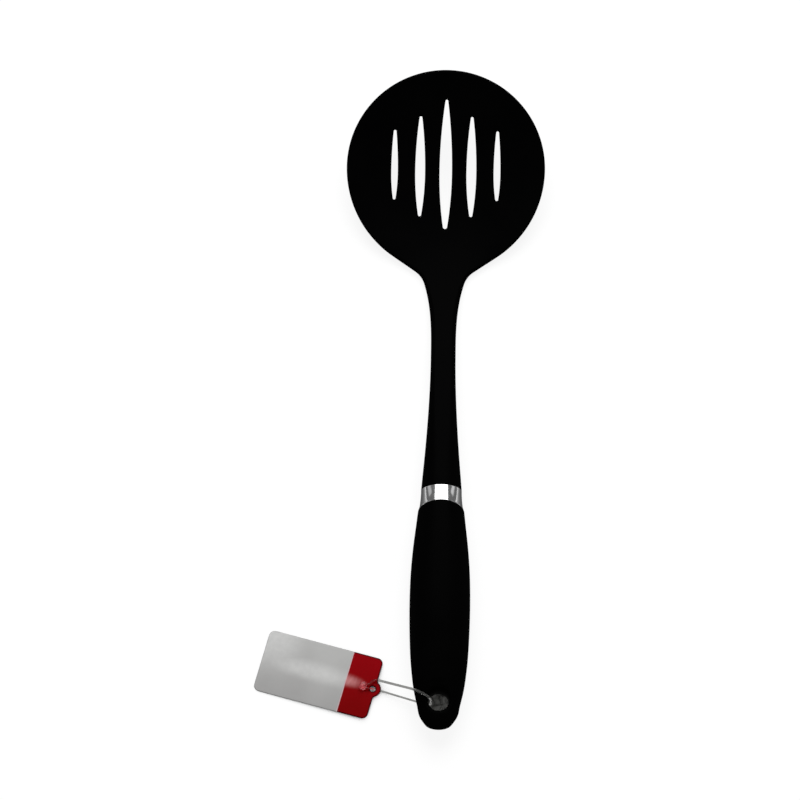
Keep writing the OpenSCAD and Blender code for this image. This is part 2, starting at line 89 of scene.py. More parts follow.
# As shares of the head's radius: where the thick back begins, and where the hollow of the dish
# fades out. The thick back spreads to this many widths of the head's root.
RIB_FROM, FADE_FROM, FADE_TO, RIB_SPREAD = 0.55, 0.72, 1.25, 3

CORE_Y, HEEL_Y = NECK_Y - FERRULE_L, NECK_Y + SHANK_L
dish_r = (HEAD_R**2 + DISH_DEPTH**2) / (2 * DISH_DEPTH)
arc_l = dish_r * (HEAD_TILT + HEEL_RISE)
arc_end_y = HEEL_Y - dish_r * math.sin(HEEL_RISE)
arc_end_z = SPHERE_Z - dish_r * math.cos(HEEL_RISE)
climb_l = arc_end_y - NECK_Y
neck_s = arc_l + climb_l - NECK_SET
ferrule_s = arc_l + climb_l
rib_s, fade_s0, fade_s1 = HEAD_R * RIB_FROM, HEAD_R * FADE_FROM, HEAD_R * FADE_TO


def eased(t):
    """A soft step, which goes from 0 to 1 as t does."""
    t = np.clip(t, 0.0, 1.0)
    return t * t * (3 - 2 * t)


def hermite(a, da, b, db, l, t):
    """A cubic from the value a with slope da to b with slope db, over the length l."""
    return (
        a * (2 * t**3 - 3 * t**2 + 1) + l * da * (t**3 - 2 * t**2 + t)
        + b * (3 * t**2 - 2 * t**3) + l * db * (t**3 - t**2)
    )


def axis_t(s):
    """Thickness of the moulding on its axis, at the distance s from the head's middle."""
    towards_neck = DISH_WALL + (NECK_T - DISH_WALL) * eased((s - rib_s) / (neck_s - rib_s))
    flare = np.clip((s - neck_s) / NECK_SET, 0, 1) ** FLARE_POWER
    return np.where(s < neck_s, towards_neck, NECK_T + (FERRULE_NECK_T - NECK_T) * flare)


def axis_top(s):
    """Height of the front over the spine: none in the dish, half the thickness at the neck."""
    return axis_t(s) / 2 * eased((s - fade_s0) / (neck_s - fade_s0))


def spine(s):
    """Place along the tool, height and slope of the line that the moulding is built on."""
    turn = HEAD_TILT - s / dish_r
    t = (s - arc_l) / climb_l
    slope_in = math.tan(HEEL_RISE)
    height = hermite(arc_end_z, slope_in, AXIS_Z, 0.0, climb_l, t)
    slope = (
        (arc_end_z - AXIS_Z) * (6 * t**2 - 6 * t) / climb_l + slope_in * (3 * t**2 - 4 * t + 1)
    )
    dish = s <= arc_l
    return (
        np.where(dish, HEEL_Y + dish_r * np.sin(turn), arc_end_y - climb_l * t),
        np.where(dish, SPHERE_Z - dish_r * np.cos(turn), height),
        np.where(dish, turn, -np.arctan(slope)),
    )


def wall_at(s, u):
    """Thickness of the wall, which thins from the axis out to the dish's own."""
    spread = eased((s - rib_s) / (neck_s - rib_s))
    reach = ROOT_W / 2 + (RIB_SPREAD * ROOT_W - ROOT_W / 2) * spread
    share = np.clip(1 - (u / reach) ** 2, 0, 1) ** 2
    return DISH_WALL + (axis_t(s) - DISH_WALL) * share


def front_h(s, u):
    """Height of the front over the spine, which grows to the sides where the dish is hollow."""
    cross = eased((fade_s1 - s) / (fade_s1 - fade_s0))
    return cross * (dish_r - np.sqrt(dish_r**2 - u**2)) + axis_top(s)


def placed(s, u, h):
    """Points at s along the spine, u to the side and h over it."""
    y, z, a = spine(s)
    return np.stack([u, y - h * np.sin(a), z + h * np.cos(a)], axis=-1)


def on_sphere(q, u):
    """Places on the sphere, q towards the heel and u to the side, as rows of s and u."""
    return np.stack([dish_r * np.arcsin(q / np.sqrt(dish_r**2 - u**2)), u], axis=1)


def head_edge():
    """The right-hand edge of the moulding from the tip to the ferrule, as s and u."""
    heel_end = math.atan(math.tan(FLANK_ANGLE) * HEEL_R / HEAD_R)
    flank_l = (
        HEAD_R * math.cos(heel_end) - FILLET_R * (math.cos(ROOT_ANGLE) - math.cos(FLANK_ANGLE))
        - ROOT_W / 2
    ) / math.sin(FLANK_ANGLE)
    q0, u0 = HEEL_R * math.sin(heel_end), HEAD_R * math.cos(heel_end)
    q1, u1 = q0 + flank_l * math.cos(FLANK_ANGLE), u0 - flank_l * math.sin(FLANK_ANGLE)
    root_q = q1 + FILLET_R * (math.sin(FLANK_ANGLE) - math.sin(ROOT_ANGLE))
    # The points lie one to two millimetres apart, and closer together on the fillet.
    tip = np.linspace(0, math.pi / 2, 73)
    side = np.linspace(0, heel_end, 43)[1:]
    along = np.linspace(0, 1, 9)[1:-1]
    fillet = np.linspace(FLANK_ANGLE, ROOT_ANGLE, 21)
    head = on_sphere(
        np.concatenate([
            -TIP_R * np.cos(tip), HEEL_R * np.sin(side), q0 + (q1 - q0) * along,
            root_q - FILLET_R * (np.sin(fillet) - math.sin(ROOT_ANGLE)),
        ]),
        np.concatenate([
            HEAD_R * np.sin(tip), HEAD_R * np.cos(side), u0 + (u1 - u0) * along,
            ROOT_W / 2 + FILLET_R * (math.cos(ROOT_ANGLE) - np.cos(fillet)),
        ]),
    )
    root_s = head[-1, 0]
    taper, flare = np.linspace(0, 1, 29)[1:], np.linspace(0, 1, 45)[1:]
    neck_u = hermite(
        ROOT_W / 2, -math.tan(ROOT_ANGLE), NECK_W / 2, 0.0, neck_s - root_s, taper
    )
    shank_u = (NECK_W + (FERRULE_NECK_W - NECK_W) * flare**FLARE_POWER) / 2
    return np.concatenate([
        head,
        np.stack([root_s + (neck_s - root_s) * taper, neck_u], axis=1),
        np.stack([neck_s + (ferrule_s - neck_s) * flare, shank_u], axis=1),
    ])


edge = head_edge()
outward = np.zeros_like(edge)
along = edge[2:] - edge[:-2]
outward[1:-1] = np.stack([-along[:, 1], along[:, 0]], axis=1)
outward[1:-1] /= np.linalg.norm(along, axis=1)[:, None]
outward[0], outward[-1] = (-1, 0), (0, 1)
half_wall = wall_at(edge[:, 0], edge[:, 1]) / 2
rim_w = np.where(
    edge[:, 0] < neck_s,
    half_wall + (NECK_ROUND - half_wall) * eased((edge[:, 0] - fade_s0) / (neck_s - fade_s0)),
    NECK_ROUND + (OVAL_SHARE * edge[:, 1] - NECK_ROUND) * eased((edge[:, 0] - neck_s) / NECK_SET),
)
inner = edge - outward * rim_w[:, None]

# The slots lie in the dish's own plane. Each is two long arcs between round ends, and has its
# place across, its width, its reach to the tip and to the heel, and its heel end's radius.
SLOT_PITCH, SLOT_SET, SLOT_TIP_R, SLOT_LIP = 13.3, 2.0, 0.7, 0.4
SLOTS = [
    (0.0, 6.45, 37.7, 29.2, 1.1),
    (SLOT_PITCH, 5.1, 29.0, 22.8, 0.8), (-SLOT_PITCH, 5.1, 29.0, 22.8, 0.8),
    (2 * SLOT_PITCH, 3.5, 21.7, 14.3, 0.75), (-2 * SLOT_PITCH, 3.4, 21.7, 14.3, 0.7),
]


def slot_loop(slot, out):
    """One slot's outline, moved outwards by out, as q (towards the heel) and u."""
    x, width, tip, heel, heel_r = slot

    def quarter(reach, end_r):
        """A quarter of a slot with that reach, from the middle of its side to its end."""
        r = (width**2 / 4 + (reach - end_r) ** 2 - end_r**2) / (width - 2 * end_r)
        stop = math.asin((reach - end_r) / (r - end_r))
        a = np.linspace(0, stop, 19)
        b = np.linspace(stop, math.pi / 2, 8)[1:]
        side = np.stack([width / 2 - r + (r + out) * np.cos(a), (r + out) * np.sin(a)], axis=1)
        end = np.stack([
            (end_r + out) * np.cos(b), reach - end_r + (end_r + out) * np.sin(b)
        ], axis=1)
        return np.concatenate([side, end])

    up, down = quarter(tip, SLOT_TIP_R), quarter(heel, heel_r)
    loop = np.concatenate([
        up, (up * (-1, 1))[-2::-1], (down * (-1, -1))[1:], (down * (1, -1))[-2:0:-1],
    ])
    return np.stack([SLOT_SET - loop[:, 1], x + loop[:, 0]], axis=1)


def within(points, line):
    """Which points lie inside the closed line."""
    hit = np.zeros(len(points), bool)
    for a, b in zip(line, np.roll(line, -1, axis=0)):
        crosses = (a[0] > points[:, 0]) != (b[0] > points[:, 0])
        with np.errstate(divide="ignore", invalid="ignore"):
            at = (b[1] - a[1]) * (points[:, 0] - a[0]) / (b[0] - a[0]) + a[1]
        hit ^= crosses & (points[:, 1] < at)
    return hit


def clear_of(points, line, gap):
    """Which points lie at least gap away from every point of the line."""
    keep = np.ones(len(points), bool)
    for p in line:
        keep &= ((points - p) ** 2).sum(axis=1) > gap**2
    return keep


# Both faces share one flat layout in s and u: the edge's inner line, the slots with four rings
# for their rounded lips, and a net of points between them.
flat, drop, ties = [], [], []


def add_loop(points, lowered):
    """Adds a closed line to the layout, which lies lower than the face by that much."""
    start, n = len(flat), len(points)
    flat.extend(map(tuple, points))
    drop.extend([lowered] * n)
    ties.extend((start + i, start + (i + 1) % n) for i in range(n))
    return list(range(start, start + n))


LIP_RINGS = 4
outline = np.concatenate([inner, (inner * (1, -1))[:0:-1]])
outline_loop = add_loop(outline, 0.0)
slot_walls, slot_lines = [], []
for slot in SLOTS:
    slot_lines.append(on_sphere(*slot_loop(slot, 0.0).T))
    for k in range(LIP_RINGS + 1):
        turn = math.pi / 2 * k / LIP_RINGS
        line = on_sphere(*slot_loop(slot, SLOT_LIP * (1 - math.cos(turn))).T)
        loop = add_loop(line, SLOT_LIP * (1 - math.sin(turn)))
        if k == 0:
            slot_walls.append(loop)

# The net's spacing, and as shares of it the spacing across and the room beside edge and lips.
NET, NET_ACROSS, ROOM_AT_EDGE, ROOM_AT_LIP = 1.6, 0.97, 0.55, 0.5
net_s, net_u = np.meshgrid(
    np.arange(-HEAD_R, ferrule_s, NET), np.arange(-HEAD_R, HEAD_R + NET, NET * NET_ACROSS)
)
net_s = net_s + (np.arange(net_s.shape[0]) % 2 * NET / 2)[:, None]
net = np.stack([net_s.ravel(), net_u.ravel()], axis=1)
net = net[within(net, outline)]
net = net[clear_of(net, outline, NET * ROOM_AT_EDGE)]
for slot, line in zip(SLOTS, slot_lines):
    lip = on_sphere(*slot_loop(slot, SLOT_LIP).T)
    net = net[~within(net, line)]
    net = net[clear_of(net, lip, NET * ROOM_AT_LIP)]
flat.extend(map(tuple, net))
drop.extend([0.0] * len(net))

# The layout is filled inside its outline, and points nearer than this are taken as one.
INSIDE, SAME_POINT = 1, 1e-6
laid = delaunay_2d_cdt([Vector(p) for p in flat], ties, [], INSIDE, SAME_POINT)
flat = np.array([tuple(p) for p in laid[0]])
drop = np.array([drop[o[0]] if o else 0.0 for o in laid[3]])
new_index = {old: new for new, o in enumerate(laid[3]) for old in o}
triangles = np.array(laid[2])
middle = flat[triangles].mean(axis=1)
keep = np.ones(len(triangles), bool)
for line in slot_lines:
    keep &= ~within(middle, line)
triangles = triangles[keep]
a, b, c = (flat[triangles[:, i]] for i in range(3))
turned = (b - a)[:, 0] * (c - a)[:, 1] - (b - a)[:, 1] * (c - a)[:, 0] < 0
triangles[turned] = triangles[turned][:, ::-1]

s, u = flat[:, 0], flat[:, 1]
front = placed(s, u, front_h(s, u) - drop)
back = placed(s, u, front_h(s, u) - wall_at(s, u) + drop)
head_points, under = list(front) + list(back), len(flat)
head_faces = [tuple(int(i) for i in f[::-1]) for f in triangles]
head_faces += [tuple(int(i) + under for i in f) for f in triangles]


def quads(upper, lower):
    """Faces all round between two rings of points, given by their numbers."""
    n = len(upper)
    return [(upper[i], upper[(i + 1) % n], lower[(i + 1) % n], lower[i]) for i in range(n)]


for loop in slot_walls:
    ids = [new_index[i] for i in loop]
    head_faces += quads(ids, [i + under for i in ids])

# The rounded edge, from the front's inner line round to the back's.
RIM_STEPS = 14
edge_ids = [new_index[i] for i in outline_loop]
rim_rows = [edge_ids]
half = wall_at(inner[:, 0], inner[:, 1]) / 2
for k in range(1, RIM_STEPS):
    turn = math.pi * k / RIM_STEPS
    r = inner + outward * (rim_w * math.sin(turn))[:, None]
    middle_h = front_h(r[:, 0], r[:, 1]) - wall_at(r[:, 0], r[:, 1]) / 2
    right = placed(r[:, 0], r[:, 1], middle_h + half * math.cos(turn))
    row = np.concatenate([right, (right * (-1, 1, 1))[:0:-1]])
    rim_rows.append(list(range(len(head_points), len(head_points) + len(row))))
    head_points.extend(row)
rim_rows.append([i + under for i in edge_ids])
last = len(inner) - 1
for upper, lower in zip(rim_rows, rim_rows[1:]):
    head_faces += [face for i, face in enumerate(quads(upper, lower)) if i != last]


def oval_ring(w, t, e, y, n):
    """Points across the tool at y, down its right side and up its left."""
    a = np.linspace(0, math.pi, n)
    right = np.stack([w - e + e * np.sin(a), np.full(n, y), AXIS_Z + t * np.cos(a)], axis=1)
    return np.concatenate([right, (right * (-1, 1, 1))[::-1]])


def ferrule_half(y):
    """Half the ferrule's outer width and thickness at y."""
    t = np.clip((NECK_Y - y) / FERRULE_L, 0, 1) ** 2
    return (
        (FERRULE_NECK_W + (FERRULE_GRIP_W - FERRULE_NECK_W) * t) / 2,
        (FERRULE_NECK_T + (FERRULE_GRIP_T - FERRULE_NECK_T) * t) / 2,
    )


# The seat inside the ferrule and the tang inside the core are skinned on from the shank's end.
ring = [row[last] for row in rim_rows] + [row[last + 1] for row in rim_rows[::-1]]
seat = FERRULE_WALL + FIT_GAP
rows = []
for y in np.linspace(NECK_Y, CORE_Y, 9):
    w, t = ferrule_half(y)
    rows.append(oval_ring(w - seat, t - seat, (w - seat) * OVAL_SHARE, y, RIM_STEPS + 1))
for y in (CORE_Y, CORE_Y - TANG_L + TANG_CHAMFER):
    rows.append(oval_ring(TANG_W / 2, TANG_T / 2, TANG_T / 2, y, RIM_STEPS + 1))
w, t = TANG_W / 2 - TANG_CHAMFER, TANG_T / 2 - TANG_CHAMFER
rows.append(oval_ring(w, t, t, CORE_Y - TANG_L, RIM_STEPS + 1))
for row in rows:
    new = list(range(len(head_points), len(head_points) + len(row)))
    head_points.extend(row)
    head_faces += quads(ring, new)
    ring = new
head_faces.append(tuple(ring))

# The shank meets the ferrule in a line that lies further back at the sides.
head_points = np.array([tuple(p) for p in head_points])
near_neck = eased(1 - np.abs(head_points[:, 1] - NECK_Y) / FERRULE_L)
side_share = np.clip(2 * head_points[:, 0] / FERRULE_NECK_W, -1, 1)
head_points[:, 1] -= NECK_ARCH * side_share**2 * near_neck


def put(tree, node, inputs):
    """Puts values, or links from other nodes, into a node's inputs."""
    for socket, value in inputs.items():
        if isinstance(value, bpy.types.NodeSocket):
            tree.links.new(value, node.inputs[socket])
        else:
            node.inputs[socket].default_value = value


def wired(tree, kind, inputs=None, **settings):
    """A node of that kind, with its settings, and with values or links in its inputs."""
    node = tree.nodes.new(kind)
    for key, value in settings.items():
        setattr(node, key, value)
    put(tree, node, inputs or {})
    return node


def surface(name):
    """A new material, its node tree, its shader, and the places on the piece that it reads."""
    material = bpy.data.materials.new(name)
    material.use_nodes = True
    tree = material.node_tree
    where = wired(tree, "ShaderNodeTexCoord").outputs["Object"]
    return material, tree, tree.nodes["Principled BSDF"], where


# A noise node's factor lies between these nearly everywhere.
NOISE_ENDS = (0.3, 0.7)


def ramp(tree, factor, low, high):
    """A colour that runs from low to high as a noise factor does."""
    node = wired(tree, "ShaderNodeValToRGB", {"Fac": factor})
    for element, place, colour in zip(node.color_ramp.elements, NOISE_ENDS, (low, high)):
        element.position, element.color = place, (*colour, 1.0)
    return node.outputs["Color"]


def mapped(tree, value, start, stop, low=0.0, high=1.0, shape="LINEAR"):
    """A number that runs from low to high as the value goes from start to stop."""
    return wired(
        tree, "ShaderNodeMapRange",
        {"Value": value, "From Min": start, "From Max": stop, "To Min": low, "To Max": high},
        interpolation_type=shape,
    ).outputs["Result"]


def between(tree, factor, low, high):
    """A number that runs from low to high as a noise factor does."""
    return mapped(tree, factor, *NOISE_ENDS, low, high)


def bump(tree, height, strength, distance):
    """The normal that a height gives, at most that distance high in metres."""
    return wired(
        tree, "ShaderNodeBump", {"Height": height, "Strength": strength, "Distance": distance}
    ).outputs["Normal"]


def noise(tree, where, scale, detail=3.0):
    """A noise factor. Its swells are about a metre over the scale long."""
    return wired(
        tree, "ShaderNodeTexNoise", {"Vector": where, "Scale": scale, "Detail": detail}
    ).outputs["Fac"]


def solid(name, points, faces, material, sharp=35.0):
    """A smooth-shaded mesh object at the origin, from points in millimetres."""
    mesh = bpy.data.meshes.new(name)
    mesh.from_pydata([tuple(p) for p in np.asarray(points) * MM], [], faces)
    mesh.validate()
    mesh.materials.append(material)
    made = bmesh.new()
    made.from_mesh(mesh)
    bmesh.ops.recalc_face_normals(made, faces=made.faces)
    made.to_mesh(mesh)
    made.free()
    mesh.shade_smooth()
    mesh.set_sharp_from_angle(angle=math.radians(sharp))
    piece = bpy.data.objects.new(name, mesh)
    scene.collection.objects.link(piece)
    return piece


nylon, tree, shader, where = surface("black_nylon")
cloud = noise(tree, where, 30.0)
put(tree, shader, {
    "Base Color": ramp(tree, cloud, (0.0007, 0.0007, 0.0008), (0.0012, 0.0012, 0.0012)),
    "Roughness": between(tree, cloud, 0.36, 0.44),
    "Specular IOR Level": 0.006,
    "Normal": bump(tree, noise(tree, where, 2600.0), strength=0.12, distance=0.0001),
})

head = solid("head_and_shank", head_points, head_faces, nylon)
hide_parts("skimmer_head")
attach(head, "tool")

# Ferrule
# A short sleeve of polished stainless steel, pressed to an oval and flared to meet the grip. Both
# of its edges are turned over a little. It is a ring swept from its wall's section, then pressed.
sleeve = bpy.data.node_groups.new("pressed_sleeve", "GeometryNodeTree")
SLEEVE_SIZES = {
    "Length": FERRULE_L, "Wall": FERRULE_WALL, "Edge Radius": 0.3, "Place": NECK_Y,
    "Axis Height": AXIS_Z, "Neck Width": FERRULE_NECK_W, "Neck Thickness": FERRULE_NECK_T,
    "Grip Width": FERRULE_GRIP_W, "Grip Thickness": FERRULE_GRIP_T, "Neck Arch": NECK_ARCH,
    "Arch": FERRULE_ARCH, "Lip Length": 1.4, "Lip Rise": 0.03,
}
for name in SLEEVE_SIZES:
    sleeve.interface.new_socket(name, in_out="INPUT", socket_type="NodeSocketFloat")
sleeve.interface.new_socket("Material", in_out="INPUT", socket_type="NodeSocketMaterial")
sleeve.interface.new_socket("Geometry", in_out="OUTPUT", socket_type="NodeSocketGeometry")
sizes = sleeve.nodes.new("NodeGroupInput").outputs


def figured(tree, operation, *values):
    """A sum or other function of numbers or of other nodes' results."""
    kind = dict(enumerate(values))
    return wired(tree, "ShaderNodeMath", kind, operation=operation).outputs["Value"]


def math_of(operation, *values):
    """The same, in the sleeve's own tree."""
    return figured(sleeve, operation, *values)


# Inside the tree, a ring of this radius in metres stands in for the oval, so that the wall is
# flat on it. The wall's section has points this far apart, in millimetres.
RING_R, SECTION_STEP = 0.02, 0.14
section = wired(
    sleeve, "GeometryNodeCurvePrimitiveQuadrilateral",
    {"Width": sizes["Wall"], "Height": sizes["Length"]},
)
rounded = wired(
    sleeve, "GeometryNodeFilletCurve",
    {"Curve": section.outputs["Curve"], "Radius": sizes["Edge Radius"], "Count": 4}, mode="POLY",
)
fine = wired(
    sleeve, "GeometryNodeResampleCurve",
    {"Curve": rounded.outputs["Curve"], "Length": SECTION_STEP * MM}, mode="LENGTH",
)
circle = wired(sleeve, "GeometryNodeCurvePrimitiveCircle", {"Resolution": 120, "Radius": RING_R})
swept = wired(
    sleeve, "GeometryNodeCurveToMesh",
    {"Curve": circle.outputs["Curve"], "Profile Curve": fine.outputs["Curve"]},
)
spot = sleeve.nodes.new("GeometryNodeInputPosition").outputs["Position"]
at = wired(sleeve, "ShaderNodeSeparateXYZ", {"Vector": spot}).outputs
flat_spot = wired(sleeve, "ShaderNodeCombineXYZ", {"X": at["X"], "Y": at["Y"]}).outputs[0]
reach = wired(
    sleeve, "ShaderNodeVectorMath", {0: flat_spot}, operation="LENGTH"
).outputs["Value"]
across, upward = math_of("DIVIDE", at["X"], reach), math_of("DIVIDE", at["Y"], reach)
half_wall = math_of("MULTIPLY", sizes["Wall"], 0.5)
along = math_of("ADD", at["Z"], math_of("MULTIPLY", sizes["Length"], 0.5))
share = math_of("DIVIDE", along, sizes["Length"])
from_end = math_of("MINIMUM", along, math_of("SUBTRACT", sizes["Length"], along))
turned_over = math_of(
    "MAXIMUM", math_of("SUBTRACT", 1.0, math_of("DIVIDE", from_end, sizes["Lip Length"])), 0.0
)
inset = math_of(
    "SUBTRACT", math_of("SUBTRACT", math_of("ADD", half_wall, RING_R), reach),
    math_of("MULTIPLY", turned_over, sizes["Lip Rise"]),
)


def half_size(neck, grip):
    """Half the sleeve's width or thickness there, less the place within its wall."""
    grown = math_of("MULTIPLY", math_of("SUBTRACT", sizes[grip], sizes[neck]), share)
    full = math_of("ADD", sizes[neck], math_of("MULTIPLY", grown, share))
    return math_of("SUBTRACT", math_of("MULTIPLY", full, 0.5), inset)


half_w = half_size("Neck Width", "Grip Width")
half_t = half_size("Neck Thickness", "Grip Thickness")
# The oval is two halves set a little apart, with a short flat at its top and at its foot.
FLAT_STRETCH = 12.0
stretched = math_of("MULTIPLY", across, FLAT_STRETCH)
crown = math_of("MAXIMUM", math_of("MINIMUM", stretched, 1.0), -1.0)
sideways = math_of(
    "ADD", math_of("MULTIPLY", across, OVAL_SHARE), math_of("MULTIPLY", crown, 1 - OVAL_SHARE)
)
more_arch = math_of("SUBTRACT", sizes["Arch"], sizes["Neck Arch"])
arched = math_of(
    "MULTIPLY", math_of("MULTIPLY", sideways, sideways),
    math_of("ADD", sizes["Neck Arch"], math_of("MULTIPLY", share, more_arch)),
)
pressed = wired(sleeve, "ShaderNodeCombineXYZ", {
    "X": math_of("MULTIPLY", half_w, sideways),
    "Y": math_of("SUBTRACT", math_of("SUBTRACT", sizes["Place"], along), arched),
    "Z": math_of("ADD", sizes["Axis Height"], math_of("MULTIPLY", half_t, upward)),
})
shaped = wired(
    sleeve, "GeometryNodeSetPosition",
    {"Geometry": swept.outputs["Mesh"], "Position": pressed.outputs["Vector"]},
)
smooth = wired(
    sleeve, "GeometryNodeSetShadeSmooth", {0: shaped.outputs["Geometry"], "Shade Smooth": True}
)
whole = wired(sleeve, "GeometryNodeRealizeInstances", {"Geometry": smooth.outputs[0]})
coated = wired(
    sleeve, "GeometryNodeSetMaterial",
    {"Geometry": whole.outputs["Geometry"], "Material": sizes["Material"]},
)
wired(sleeve, "NodeGroupOutput", {"Geometry": coated.outputs["Geometry"]})


def drawn_out(tree, where, scales, detail=3.0):
    """A noise factor with a scale of its own in each direction."""
    mapping = wired(tree, "ShaderNodeMapping", {"Vector": where, "Scale": scales})
    return noise(tree, mapping.outputs["Vector"], 1.0, detail)


steel, tree, shader, where = surface("polished_steel")
lines = drawn_out(tree, where, (150.0, 2500.0, 150.0))
put(tree, shader, {
    "Base Color": ramp(tree, lines, (0.72, 0.725, 0.73), (0.78, 0.78, 0.78)),
    "Metallic": 1.0,
    "Roughness": between(tree, lines, 0.1, 0.16),
    "Normal": bump(tree, lines, strength=0.03, distance=0.0001),
})


def plain_mesh(piece):
    """Turns a piece with modifiers into the mesh that they make."""
    bpy.context.view_layer.update()
    shaped = bpy.data.meshes.new_from_object(
        piece.evaluated_get(bpy.context.evaluated_depsgraph_get())
    )
    piece.modifiers.clear()
    piece.data = shaped
    shaped.name = piece.name


ferrule = solid("steel_ferrule", [(0, 0, 0)], [], steel)
pressing = ferrule.modifiers.new("pressing", "NODES")
pressing.node_group = sleeve
for socket in sleeve.interface.items_tree:
    if socket.in_out == "INPUT":
        value = SLEEVE_SIZES.get(socket.name)
        pressing[socket.identifier] = steel if value is None else value * MM
plain_mesh(ferrule)
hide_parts("ferrule")
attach(ferrule, "tool")

# Handle core
# The hard core inside the grip, moulded round the tang. The soft grip covers it all round, so it
# keeps the model's own solid and takes the look of plain moulded polypropylene.
core_plastic, tree, shader, where = surface("core_polypropylene")
flow = noise(tree, where, 60.0)
put(tree, shader, {
    "Base Color": ramp(tree, flow, (0.02, 0.02, 0.021), (0.035, 0.035, 0.036)),
    "Roughness": 0.5,
    "Normal": bump(tree, flow, strength=0.1, distance=0.0002),
})
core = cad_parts["handle_core"]
core.data.materials.clear()
core.data.materials.append(core_plastic)

# Grip
# The soft outer handle in black thermoplastic rubber, moulded over the core: an oval that swells
# towards the hand's middle and thins to a rounded end. The hanging hole's mouths run smoothly
# into the faces on both sides. The form is a rule, so a rough body is pressed onto it.
GRIP_L, GRIP_W, GRIP_T = 119.4, 30.9, 24.5
END_Y = CORE_Y - GRIP_L
HOLE_SET, HOLE_R, THROAT_L, FLARE_R, FLARE_L = 14.2, 5.05, 2.0, 3.6, GRIP_T / 4
HOLE_Y = END_Y + HOLE_SET
# The rounding at the ends and at the hole's mouths, the share of a mouth's turn by which the
# distance to its wall leans, and how far out the arch goes on, in halves of the ferrule's width.
END_ROUND, MOUTH_ROUND, MOUTH_LEAN, ARCH_END = 0.35, 1.1, 0.75, 1.1
# As shares: the place along the grip, the width and the thickness.
GRIP_SHARES = np.array([
    (0, 0.12, 0.1), (0.008, 0.33, 0.24), (0.025, 0.47, 0.33), (0.06, 0.634, 0.43),
    (0.105, 0.71, 0.505), (0.17, 0.82, 0.585), (0.24, 0.895, 0.7), (0.33, 0.955, 0.84),
    (0.45, 0.99, 0.965), (0.57, 1, 1), (0.69, 0.977, 0.985), (0.8, 0.915, 0.945),
    (0.91, 0.82, 0.88), (0.975, 0.762, 0.83),
    (1, FERRULE_GRIP_W / GRIP_W, FERRULE_GRIP_T / GRIP_T),
])


def grip_row(i, t):
    """One row of the grip's table, at the share t of the way from row i to the next."""
    end = len(GRIP_SHARES) - 1
    rows = [GRIP_SHARES[min(max(k, 0), end)] for k in (i - 1, i, i + 1, i + 2)]
    return hermite(rows[1], (rows[2] - rows[0]) / 2, rows[2], (rows[3] - rows[1]) / 2, 1.0, t)


grip_curve = np.array(
    [grip_row(i, t) for i in range(len(GRIP_SHARES) - 1) for t in np.linspace(0, 1, 13)[:-1]]
    + [GRIP_SHARES[-1]]
)
grip_y = END_Y + grip_curve[:, 0] * GRIP_L


def smooth_max(a, b, soft):
    """The larger of two distances, with the edge between them rounded."""
    h = np.clip(0.5 + 0.5 * (a - b) / soft, 0, 1)
    return b + (a - b) * h + soft * h * (1 - h)


def end_arch(x):
    """How far back the ferrule's edge, and the grip's with it, lies at x from the middle."""
    return FERRULE_ARCH * np.clip(2 * x / FERRULE_GRIP_W, -ARCH_END, ARCH_END) ** 2


def grip_form(p):
    """Below zero inside the grip's body, in millimetres, for points p as rows of x, y, z."""
    w = np.interp(p[:, 1], grip_y, grip_curve[:, 1]) * GRIP_W / 2
    t = np.interp(p[:, 1], grip_y, grip_curve[:, 2]) * GRIP_T / 2
    e = w * OVAL_SHARE
    across = np.maximum(0, np.abs(p[:, 0]) - (w - e)) / e
    oval = (np.sqrt(across**2 + ((p[:, 2] - AXIS_Z) / t) ** 2) - 1) * t
    end = np.maximum(END_Y - p[:, 1], p[:, 1] - CORE_Y + end_arch(p[:, 0]))
    return smooth_max(oval, end, END_ROUND)


def hole_radius(rise):
    """The hanging hole's radius and the turn of its mouth, at a height above the throat."""
    turn = np.arcsin(np.clip(rise / FLARE_L, 0, 1))
    return HOLE_R + FLARE_R * (1 - np.cos(turn)), turn


def grip_surface(p):
    """Zero on the finished grip's surface, the hanging hole's wall among it."""
    r, turn = hole_radius(np.abs(p[:, 2] - AXIS_Z) - THROAT_L / 2)
    hole = (r - np.hypot(p[:, 0], p[:, 1] - HOLE_Y)) * np.cos(turn * MOUTH_LEAN)
    return smooth_max(grip_form(p), hole, MOUTH_ROUND)


def skinned(rows):
    """Faces between rings of equal count, with both ends closed, and the rings' points."""
    n = len(rows[0])
    ids = [tuple(range(i * n, i * n + n)) for i in range(len(rows))]
    faces = [face for pair in zip(ids, ids[1:]) for face in quads(*pair)]
    return np.concatenate(rows), faces + [ids[0], ids[-1]]


def cut_by(piece, points, faces):
    """Cuts a solid of those points and faces out of the piece."""
    tool = solid("cutter", points, faces, piece.data.materials[0])
    cut = piece.modifiers.new("cut", "BOOLEAN")
    cut.operation, cut.object, cut.solver = "DIFFERENCE", tool, "EXACT"
    plain_mesh(piece)
    bpy.data.objects.remove(tool)


rubber, tree, shader, where = surface("soft_black_rubber")
cloud = noise(tree, where, 35.0)
put(tree, shader, {
    "Base Color": ramp(tree, cloud, (0.0006, 0.0006, 0.0006), (0.0010, 0.0010, 0.0010)),
    "Roughness": between(tree, cloud, 0.44, 0.52),
    "Specular IOR Level": 0.008,
    "Normal": bump(tree, noise(tree, where, 3500.0), strength=0.15, distance=0.0001),
})

